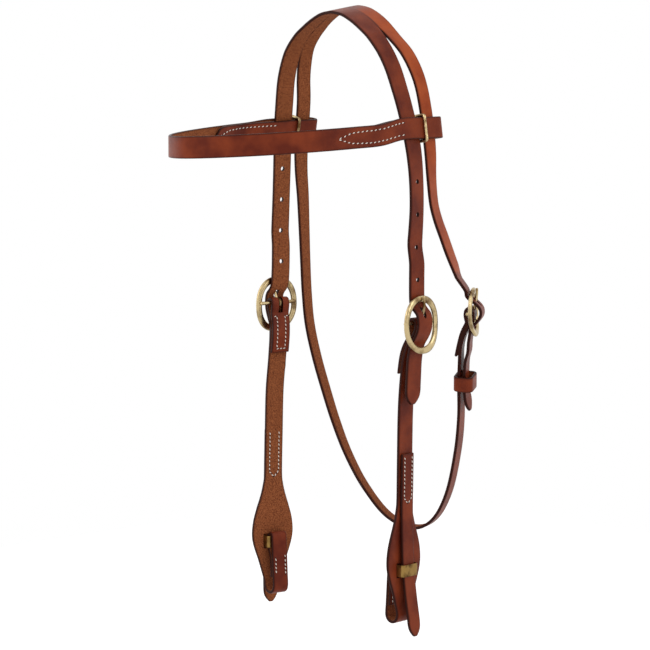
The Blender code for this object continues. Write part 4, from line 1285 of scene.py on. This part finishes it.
# Buckle: a flat oval ring cast with its bar, which hangs behind it on two posts
def makeBuckle(name, place, halfWidth, halfHeight, bandHalf, drop):
    builder = bmesh.new()
    rings = []
    for step in range(buckle["steps"]):
        angle = 2 * math.pi * step / buckle["steps"]
        turnedU, turnedV = math.cos(angle), math.sin(angle)
        squaredU = math.copysign(abs(turnedU) ** buckle["power"], turnedU)
        squaredV = math.copysign(abs(turnedV) ** buckle["power"], turnedV)
        ring = []
        for side in range(buckle["sides"]):
            around = 2 * math.pi * side / buckle["sides"]
            out, lift = math.cos(around), math.sin(around)
            u = squaredU * (halfWidth - bandHalf + bandHalf * out)
            v = squaredV * (halfHeight - bandHalf + bandHalf * out)
            n = (buckle["lift"] + buckle["halfThickness"] * lift
                 + buckle["heelRise"] * max(-v / halfHeight, 0.0) ** 2)
            ring.append(builder.verts.new(toWorld(place, u, v - drop, n)))
        rings.append(ring)
    for step in range(buckle["steps"]):
        here, there = rings[step], rings[(step + 1) % buckle["steps"]]
        for side in range(buckle["sides"]):
            following = (side + 1) % buckle["sides"]
            builder.faces.new((here[side], here[following], there[following], there[side]))
    barEnd = halfWidth - bandHalf * buckle["barEndShare"]
    barPoints = [toWorld(place, barEnd * share, 0.0, 0.0) for share in (-1.0, -0.5, 0.0, 0.5, 1.0)]
    addTube(builder, barPoints, [buckle["barRadius"]] * 5, buckle["barSides"])
    for side in (-1.0, 1.0):
        points = [toWorld(place, side * barEnd, 0.0, n)
                  for n in (0.0, buckle["lift"] * 0.5, buckle["lift"])]
        points = list(reversed(points))
        points, radii = domedEnd(points, [buckle["barRadius"]] * 3)
        addTube(builder, points, radii, buckle["barSides"])
    mesh = metalMesh(builder, name + "Cast")
    addPiece(name + "Cast", mesh, castBrass, "crown", "brass", name)


# Tongue: bent rod, looped round the bar, its tip resting on the ring
def makeTongue(name, body, place, halfHeight, shares):
    builder = bmesh.new()
    loop = []
    for step in range(tongue["loopSteps"]):
        angle = 2 * math.pi * step / tongue["loopSteps"]
        loop.append(toWorld(place, 0.0, tongueLoopRadius * math.sin(angle),
                            tongueLoopRadius * math.cos(angle)))
    addTube(builder, loop, [tongue["radius"]] * len(loop), tongue["sides"], closed=True)
    points = [toWorld(place, 0.0, height * halfHeight, rise * tongueRise)
              for rise, height in smoothPoints(shares, smoothing["profile"])]
    radii = []
    for index in range(len(points)):
        t = index / (len(points) - 1)
        radii.append(tongue["radius"] + (tongue["tipRadius"] - tongue["radius"]) * t)
    points, radii = domedEnd(points, radii)
    addTube(builder, points, radii, tongue["sides"])
    mesh = metalMesh(builder, name + "Rod")
    addPiece(name + "Rod", mesh, castBrass, body, "brass", name)


def makeCheekpiece(sideName, side, place):
    control = frameControl(place, leaned(cheekpiecePoints(side), side))
    rows = roundEnds(thinRows(smoothRows(control, smoothing["profile"])))
    cutter = newBuilder()
    addTongueSlot(cutter, place)
    lean, out, _ = cheekAt(clip["drop"], side)
    middle = -side * lean
    reach = strap["thickness"]
    addBox(cutter, place,
           (middle - clip["windowHalfWidth"], -clip["drop"] - clip["windowHalfHeight"],
            out - reach),
           (middle + clip["windowHalfWidth"], -clip["drop"] + clip["windowHalfHeight"],
            out + reach))
    strapPiece(sideName + "CheekLeather", sideName + "_cheek", sideName + "_cheekpiece", rows,
               -grainSide(rows, place), cutter)
    return rows


# +1 where a strap's own normal points in at its start, -1 where it points out. A cheekpiece
# starts with the fold-back, whose grain side faces the head
def grainSide(rows, place):
    middle = len(rows) // 20 + 6
    run = rows[middle + 1][0] - rows[middle - 1][0]
    normal = rows[middle][1].cross(run)
    outward = place[1] @ Vector((0.0, 0.0, 1.0))
    return 1.0 if normal.dot(outward) > 0 else -1.0


# Clip: rolled strip bent into a flat loop
def makeBitClip(sideName, side, place):
    lean, out, _ = cheekAt(clip["drop"], side)
    inner = out - clip["innerReach"]
    outer = out + clip["outerReach"]
    across = place[1] @ Vector((0.0, clip["halfHeight"], 0.0))
    rows = []
    for u, n in roundedLoop(clip["halfWidth"], (outer - inner) / 2, clip["corner"]):
        centre = toWorld(place, u - side * lean, -clip["drop"], n + (outer + inner) / 2)
        rows.append((centre, across))
    strapPiece(sideName + "ClipStrip", sideName + "_cheek", sideName + "_bit_clip", rows, 1.0,
               material=rolledBrass, slot="brass", thickness=clip["strip"],
               corner=clip["edge"], closed=True)


def makeLockingTab(sideName, side, place):
    points = []
    for dropShare, liftShare, driftShare in tabShares:
        drop = tab["top"] + dropShare * tab["length"]
        lean, out, _ = cheekAt(min(drop, cheek["length"]), side)
        points.append((lean - driftShare * tab["drift"], -drop,
                       out + layerStep + liftShare * tab["lift"], tab["halfWidth"]))
    control = addTip(frameControl(place, leaned(points, side)))
    rows = roundEnds(thinRows(smoothRows(control, smoothing["profile"])))
    strapPiece(sideName + "TabLeather", sideName + "_cheek", sideName + "_locking_tab", rows,
               grainSide(rows, place))
    return rows


def makeThroatKeeper():
    centre, across, run = spotAt(risingRows, throatFrame[0].z - keeper["drop"])
    normal = throatNormal(across, run)
    standOff = keeper["standOff"] * layerStep
    halfU = strap["throatHalfWidth"] + keeper["play"] + keeper["thickness"] / 2
    halfN = (standOff + keeper["slack"]) / 2 + halfThickness + keeper["play"]
    halfN += keeper["thickness"] / 2
    rows = []
    for a, b in roundedLoop(halfU, halfN, keeper["corner"]):
        spot = centre + across.normalized() * a + normal * (b + (standOff + keeper["slack"]) / 2)
        rows.append((spot, run * keeper["halfHeight"]))
    middle = centre + normal * (standOff + keeper["slack"]) / 2
    direction = rows[0][1].cross(rows[1][0] - rows[-1][0])
    grain = 1.0 if direction.dot(rows[0][0] - middle) > 0 else -1.0
    strapPiece("keeperLeather", "keeper", "throat_keeper", rows, grain,
               thickness=keeper["thickness"], corner=keeper["edge"], closed=True)


def makeBrowband():
    nearSide = browbandSide(1.0, nearPlane)
    farSide = browbandSide(-1.0, farPlane)
    farHalf = [frontControl(-1.0, angle, 0.0) for angle in frontAngles[:-1]]
    nearHalf = [frontControl(1.0, angle, 0.0) for angle in reversed(frontAngles)]
    control = list(reversed(farSide)) + farHalf + nearHalf + nearSide
    rows = roundEnds(thinRows(smoothRows(control, smoothing["profile"])))
    lengths = measureRows(rows)
    for index, (centre, across) in enumerate(rows):
        fromTip = min(lengths[index], lengths[-1] - lengths[index])
        share = smoothStep((browband["flapLength"] - fromTip) / browband["flapBlend"])
        rows[index] = (centre, across * (1 - browband["flapNarrower"] * share))
    middle = min(range(len(rows)), key=lambda index: rows[index][0].y)
    run = rows[middle + 1][0] - rows[middle - 1][0]
    normal = rows[middle][1].cross(run)
    grain = 1.0 if normal.y < 0 else -1.0
    strapPiece("browLeather", "brow", "browband", rows, grain)
    return rows


def makeWireLoop(name, plane):
    middle = (strap["halfWidth"] + plane[4] - strap["throatHalfWidth"]) / 2
    points = []
    for upBy, outBy in roundedLoop(wireHalfHeight, wireHalfDepth, wire["corner"]):
        points.append(planeSpot(plane, middle, upBy, outBy))
    builder = bmesh.new()
    addTube(builder, points, [wire["radius"]] * len(points), wire["sides"], closed=True)
    mesh = metalMesh(builder, name + "Wire")
    addPiece(name + "Wire", mesh, brassWire, "brow", "brass", name)


crownRear = makeCrownpiece()
print("crownpiece made")
browRows = makeBrowband()
makeWireLoop("near_browband_loop", nearPlane)
makeWireLoop("far_browband_loop", farPlane)
print("browband made")
cheekRows = {}
tabRows = {}
for sideName, side, place in (("near", 1.0, nearFrame), ("far", -1.0, farFrame)):
    makeBuckle(sideName + "_cheek_buckle", place, buckle["halfWidth"], buckle["halfHeight"],
               buckle["bandHalf"], buckle["drop"])
    cheekRows[sideName] = makeCheekpiece(sideName, side, place)
    makeBitClip(sideName, side, place)
    tabRows[sideName] = makeLockingTab(sideName, side, place)
    makeTongue(sideName + "_cheek_tongue", sideName + "_tongue", place, buckle["halfHeight"],
               cheekShankShares)
makeBuckle("throat_buckle", throatFrame, buckle["throatHalfWidth"], buckle["throatHalfHeight"],
           buckle["throatBandHalf"], 0.0)
makeTongue("throat_tongue", "throat_tongue_body", throatFrame, buckle["throatHalfHeight"],
           throatShankShares)
makeThroatKeeper()
print("cheeks, buckles and keeper made")


# Stitching: saddle stitch by hand, about seven to the inch and six on the browband
stitch = {
    "pitch": 0.0034,
    "browPitch": 0.0042,
    "length": 0.0023,
    "radius": 0.00046,
    "slant": 18.0,
    "inset": 0.0027,       # from the row to the leather's edge
    "browInset": 0.004,
    "prickLength": 1.6,    # in thread radii
    "prickRadius": 0.95,   # in thread radii
    "prickShift": 0.72,    # in stitch lengths
    "feelReach": 0.001,
}
# Where the rows run, from the strap's end and across it
browSeam = {"tip": 0.0025, "turn": 0.015, "turnShare": 0.85, "straight": 0.03, "end": 0.067,
            "backward": 0.35, "spareRows": 8}
foldSeam = {"low": 0.0035, "high": 0.0315, "across": 0.0042, "overEdge": 0.0075}
sewnSeam = {"end": 0.003, "top": 0.025, "corner": 0.0268, "cornerInset": 0.0018}
tabSeam = {"start": 0.002, "end": 0.0365, "point": 0.0415, "outwards": 0.0002}
throatSeam = {"across": 0.0036, "start": 0.003, "end": 0.0215, "crossRow": 0.0225, "reach": 0.8}


# Evenly spaced stitches along a route of (distance, across) on a strap, on the face that
# looks the given way, stood off by extra layers where they come through others
def routeStitches(rows, route, towards, extra=0.0, pitch=stitch["pitch"]):
    lengths = measureRows(rows)
    spots = []
    carried = pitch / 2
    for (d0, a0), (d1, a1) in zip(route, route[1:]):
        span = math.hypot(d1 - d0, a1 - a0)
        along = carried
        while along < span:
            t = along / span
            spots.append((d0 + (d1 - d0) * t, a0 + (a1 - a0) * t,
                          (d1 - d0) / span, (a1 - a0) / span))
            along += pitch
        carried = along - span
    stitches = []
    for distance, acrossBy, goAlong, goAcross in spots:
        centre, across = rowAt(rows, lengths, distance)
        before, _ = rowAt(rows, lengths, max(distance - stitch["feelReach"], 0.0))
        after, _ = rowAt(rows, lengths, min(distance + stitch["feelReach"], lengths[-1]))
        run = (after - before).normalized()
        direction = across.normalized()
        normal = direction.cross(run).normalized()
        if normal.dot(towards) < 0:
            normal = -normal
        heading = run * goAlong + direction * goAcross
        spot = centre + direction * acrossBy + normal * (halfThickness + extra)
        stitches.append((spot, heading.normalized(), normal))
    return stitches


# Grows one bead at each point and turns it along the row: a thread, or the dark bead of painted shade
# in its pricked hole
def beadTree(name, material):
    tree = bpy.data.node_groups.new(name, "GeometryNodeTree")
    face = tree.interface
    face.new_socket("Geometry", in_out="INPUT", socket_type="NodeSocketGeometry")
    for label in ("Half length", "Radius", "Slant", "Shift"):
        face.new_socket(label, in_out="INPUT", socket_type="NodeSocketFloat")
    face.new_socket("Geometry", in_out="OUTPUT", socket_type="NodeSocketGeometry")
    given = tree.nodes.new("NodeGroupInput").outputs
    heading = addNode(tree, "GeometryNodeInputNamedAttribute", {"data_type": "FLOAT_VECTOR"},
                      {"Name": "heading"}).outputs["Attribute"]
    facing = addNode(tree, "GeometryNodeInputNamedAttribute", {"data_type": "FLOAT_VECTOR"},
                     {"Name": "facing"}).outputs["Attribute"]
    size = addNode(tree, "ShaderNodeCombineXYZ",
                   links={"X": given["Half length"], "Y": given["Radius"], "Z": given["Radius"]})
    turn = addNode(tree, "ShaderNodeCombineXYZ", links={"Z": given["Slant"]})
    shift = addNode(tree, "ShaderNodeCombineXYZ", links={"X": given["Shift"]})
    bead = addNode(tree, "GeometryNodeMeshUVSphere", values={"Segments": 10, "Rings": 6})
    shaped = addNode(tree, "GeometryNodeTransform",
                     links={"Geometry": bead.outputs["Mesh"], "Scale": size.outputs["Vector"],
                            "Translation": shift.outputs["Vector"],
                            "Rotation": turn.outputs["Vector"]})
    lengthwise = addNode(tree, "FunctionNodeAlignRotationToVector", {"axis": "X"},
                         links={"Vector": heading})
    outwards = addNode(tree, "FunctionNodeAlignRotationToVector",
                       {"axis": "Z", "pivot_axis": "X"},
                       links={"Rotation": lengthwise.outputs["Rotation"], "Vector": facing})
    points = addNode(tree, "GeometryNodeMeshToPoints", links={"Mesh": given["Geometry"]})
    placed = addNode(tree, "GeometryNodeInstanceOnPoints",
                     links={"Points": points.outputs["Points"],
                            "Instance": shaped.outputs["Geometry"],
                            "Rotation": outwards.outputs["Rotation"]})
    real = addNode(tree, "GeometryNodeRealizeInstances",
                   links={"Geometry": placed.outputs["Instances"]})
    painted = addNode(tree, "GeometryNodeSetMaterial", {}, {"Material": material},
                      {"Geometry": real.outputs["Geometry"]})
    addNode(tree, "NodeGroupOutput", links={"Geometry": painted.outputs["Geometry"]})
    return tree


def makeBeads(name, body, stitches, material, halfLength, radius, slant, shift):
    seeds = bpy.data.meshes.new(name + "Seeds")
    seeds.from_pydata([row[0] for row in stitches], [], [])
    for label, index in (("heading", 1), ("facing", 2)):
        attribute = seeds.attributes.new(label, "FLOAT_VECTOR", "POINT")
        for item, row in zip(attribute.data, stitches):
            item.vector = row[index]
    holder = bpy.data.objects.new(name + "Seeds", seeds)
    bpy.context.scene.collection.objects.link(holder)
    grow = holder.modifiers.new("beads", "NODES")
    grow.node_group = beadTree(name + "Tree", material)
    values = {"Half length": halfLength, "Radius": radius, "Slant": slant, "Shift": shift}
    for item in grow.node_group.interface.items_tree:
        if item.item_type == "SOCKET" and item.in_out == "INPUT" and item.name in values:
            grow[item.identifier] = values[item.name]
    evaluated = holder.evaluated_get(bpy.context.evaluated_depsgraph_get())
    mesh = bpy.data.meshes.new_from_object(evaluated)
    bpy.data.objects.remove(holder)
    piece = bpy.data.objects.new(name, mesh)
    bpy.context.scene.collection.objects.link(piece)
    mesh.shade_smooth()
    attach(piece, body)


def browbandStitches():
    lengths = measureRows(browRows)
    total = lengths[-1]
    inset = browband["halfHeight"] - stitch["browInset"]
    found = []
    middle = min(range(len(browRows)), key=lambda index: browRows[index][0].y)
    spare = browSeam["spareRows"]
    quarter = len(browRows) // 4 - spare
    outer = {1: browRows[middle:len(browRows) * 3 // 4 + spare], -1: browRows[quarter:middle]}
    for sign in (1, -1):
        def place(fromTip):
            return total - fromTip if sign > 0 else fromTip
        for across in (1.0, -1.0):
            route = [(place(browSeam["tip"]), 0.0),
                     (place(browSeam["turn"]), across * inset * browSeam["turnShare"]),
                     (place(browSeam["straight"]), across * inset),
                     (place(browSeam["end"]), across * inset)]
            spots = routeStitches(browRows, route, Vector((-sign, browSeam["backward"], 0.0)),
                                  pitch=stitch["browPitch"])
            found += spots
            found += [throughTo(outer[sign], spot) for spot in spots]
    return found


# The same stitch where it comes out on the outer layer
def throughTo(rows, given):
    spot, heading, normal = given
    best = min(range(1, len(rows) - 1), key=lambda index: (rows[index][0] - spot).length)
    run = (rows[best + 1][0] - rows[best - 1][0]).normalized()
    across = rows[best][1].normalized()
    out = across.cross(run).normalized()
    if out.dot(normal) > 0:
        out = -out
    centre = rows[best][0]
    moved = (centre + across * (spot - centre).dot(across) + run * (spot - centre).dot(run)
             + out * halfThickness)
    return moved, (heading - out * heading.dot(out)).normalized(), out


def cheekStitches(sideName, place):
    outward = place[1] @ Vector((0.0, 0.0, 1.0))
    rows = cheekRows[sideName]
    total = measureRows(rows)[-1]
    found = []
    low, high, line = foldSeam["low"], foldSeam["high"], foldSeam["across"]
    box = [(high, foldSeam["overEdge"]), (high, line), (low, line), (low, -line),
           (high, -line), (high, -foldSeam["overEdge"])]
    found += routeStitches(rows, box, -outward)
    found += routeStitches(rows, box, outward, extra=layerStep)
    narrow = cheek["returnHalfWidth"] - stitch["inset"]
    end, corner = total - sewnSeam["end"], total - sewnSeam["corner"]
    sewn = [(end, narrow), (total - sewnSeam["top"], narrow),
            (corner, narrow - sewnSeam["cornerInset"]), (corner, -narrow), (end, -narrow)]
    found += routeStitches(rows, sewn, -outward, extra=layerStep)
    found += routeStitches(rows, sewn, outward)
    tabs = tabRows[sideName]
    edge = tab["halfWidth"] - stitch["inset"] + tabSeam["outwards"]
    for across in (1.0, -1.0):
        vee = [(tabSeam["start"], across * edge), (tabSeam["end"], across * edge),
               (tabSeam["point"], 0.0)]
        found += routeStitches(tabs, vee, outward)
        found += routeStitches(tabs, vee, -outward, extra=layerStep)
    return found


def throatStitches():
    outward = throatFrame[1] @ Vector((0.0, 0.0, 1.0))
    reach = strap["throatHalfWidth"] * throatSeam["reach"]
    found = []
    for across in (throatSeam["across"], -throatSeam["across"]):
        route = [(throatSeam["start"], across), (throatSeam["end"], across)]
        found += routeStitches(crownRear, route, -outward)
    crossRow = [(throatSeam["crossRow"], -reach), (throatSeam["crossRow"], reach)]
    return found + routeStitches(crownRear, crossRow, -outward)


def makeStitching():
    bodies = {"brow": browbandStitches(), "crown": throatStitches()}
    for sideName, place in (("near", nearFrame), ("far", farFrame)):
        bodies[sideName + "_cheek"] = cheekStitches(sideName, place)
    for body, stitches in bodies.items():
        makeBeads(body + "Thread", body, stitches, waxedThread, stitch["length"] / 2,
                  stitch["radius"], math.radians(stitch["slant"]), 0.0)
        # The pricks are dark beads of painted shade, set where the holes are
        makeBeads(body + "PrickShadeBeads", body, stitches, paintedPrickShade,
                  stitch["radius"] * stitch["prickLength"],
                  stitch["radius"] * stitch["prickRadius"], 0.0,
                  stitch["length"] * stitch["prickShift"])


makeStitching()
print("stitching made")


# Studio: white surround, pale floor well under the hanging part, three soft lamps
studio = {
    "ambient": 0.62,
    "floorDrop": 0.1,
    "floorHalf": 0.9,
    "floorGlow": 0.4,
    "aim": (0.0, 0.0, -0.25),
    "lamps": (
        ("keyLamp", (0.15, -1.6, 0.7), (0.9, 1.2), 9.0),
        ("rimLamp", (1.5, 0.5, 0.5), (0.5, 1.2), 5.0),
        ("fillLamp", (-1.4, -0.6, 0.1), (0.8, 1.2), 3.0),
    ),
}


def makeStudio():
    world = bpy.data.worlds.new("studioSurround")
    bpy.context.scene.world = world
    world.use_nodes = True
    tree = world.node_tree
    tree.nodes.clear()
    path = addNode(tree, "ShaderNodeLightPath").outputs
    seen = addNode(tree, "ShaderNodeMath", {"operation": "MAXIMUM"},
                   links={0: path["Is Camera Ray"], 1: path["Is Glossy Ray"]})
    seen = addNode(tree, "ShaderNodeMath", {"operation": "MAXIMUM"},
                   links={0: seen.outputs["Value"], 1: path["Is Transmission Ray"]})
    strength = addNode(tree, "ShaderNodeMapRange",
                       values={"To Min": studio["ambient"], "To Max": 1.0},
                       links={"Value": seen.outputs["Value"]})
    light = addNode(tree, "ShaderNodeBackground", values={"Color": (1.0, 1.0, 1.0, 1.0)},
                    links={"Strength": strength.outputs["Result"]})
    addNode(tree, "ShaderNodeOutputWorld", links={"Surface": light.outputs["Background"]})

    builder = bmesh.new()
    bmesh.ops.create_grid(builder, x_segments=8, y_segments=8, size=studio["floorHalf"])
    bmesh.ops.translate(builder, verts=builder.verts,
                        vec=(0.0, 0.0, cadBounds[0][2] - studio["floorDrop"]))
    mesh = bpy.data.meshes.new("studioFloor")
    builder.to_mesh(mesh)
    builder.free()
    floor = bpy.data.objects.new("studioFloor", mesh)
    bpy.context.scene.collection.objects.link(floor)
    material, tree, shader = newMaterial("whitePaintedFloor")
    shader.inputs["Base Color"].default_value = hexColour("#fafafa")
    shader.inputs["Roughness"].default_value = 0.9
    shader.inputs["Emission Color"].default_value = (1.0, 1.0, 1.0, 1.0)
    path = addNode(tree, "ShaderNodeLightPath").outputs
    glow = addNode(tree, "ShaderNodeMath", {"operation": "MULTIPLY"}, {1: studio["floorGlow"]},
                   {0: path["Is Camera Ray"]})
    tree.links.new(glow.outputs["Value"], shader.inputs["Emission Strength"])
    mesh.materials.append(material)


def addLamp(name, place, target, size, watts):
    lamp = bpy.data.lights.new(name, "AREA")
    lamp.shape = "RECTANGLE"
    lamp.size = size[0]
    lamp.size_y = size[1]
    lamp.energy = watts
    holder = bpy.data.objects.new(name, lamp)
    bpy.context.scene.collection.objects.link(holder)
    holder.location = place
    holder.rotation_euler = (Vector(target) - Vector(place)).to_track_quat("-Z", "Y").to_euler()


photoCamera = {"azimuth": 48.0, "elevation": 6.5, "distance": 2.6, "lens": 173.49,
               "target": (0.00974, -0.03334, -0.25936)}


def makeCamera():
    azimuth = math.radians(photoCamera["azimuth"])
    elevation = math.radians(photoCamera["elevation"])
    target = Vector(photoCamera["target"])
    away = Vector((math.sin(azimuth) * math.cos(elevation),
                   -math.cos(azimuth) * math.cos(elevation), math.sin(elevation)))
    camera = bpy.data.cameras.new("photoCamera")
    camera.lens = photoCamera["lens"]
    camera.sensor_width = 36.0
    camera.clip_end = 50.0
    holder = bpy.data.objects.new("photoCamera", camera)
    bpy.context.scene.collection.objects.link(holder)
    holder.location = target + away * photoCamera["distance"]
    holder.rotation_euler = (-away).to_track_quat("-Z", "Y").to_euler()
    bpy.context.scene.camera = holder


makeStudio()
for name, place, size, watts in studio["lamps"]:
    addLamp(name, place, studio["aim"], size, watts)
makeCamera()
bpy.context.scene.view_settings.view_transform = "Standard"
print("studio and camera made")
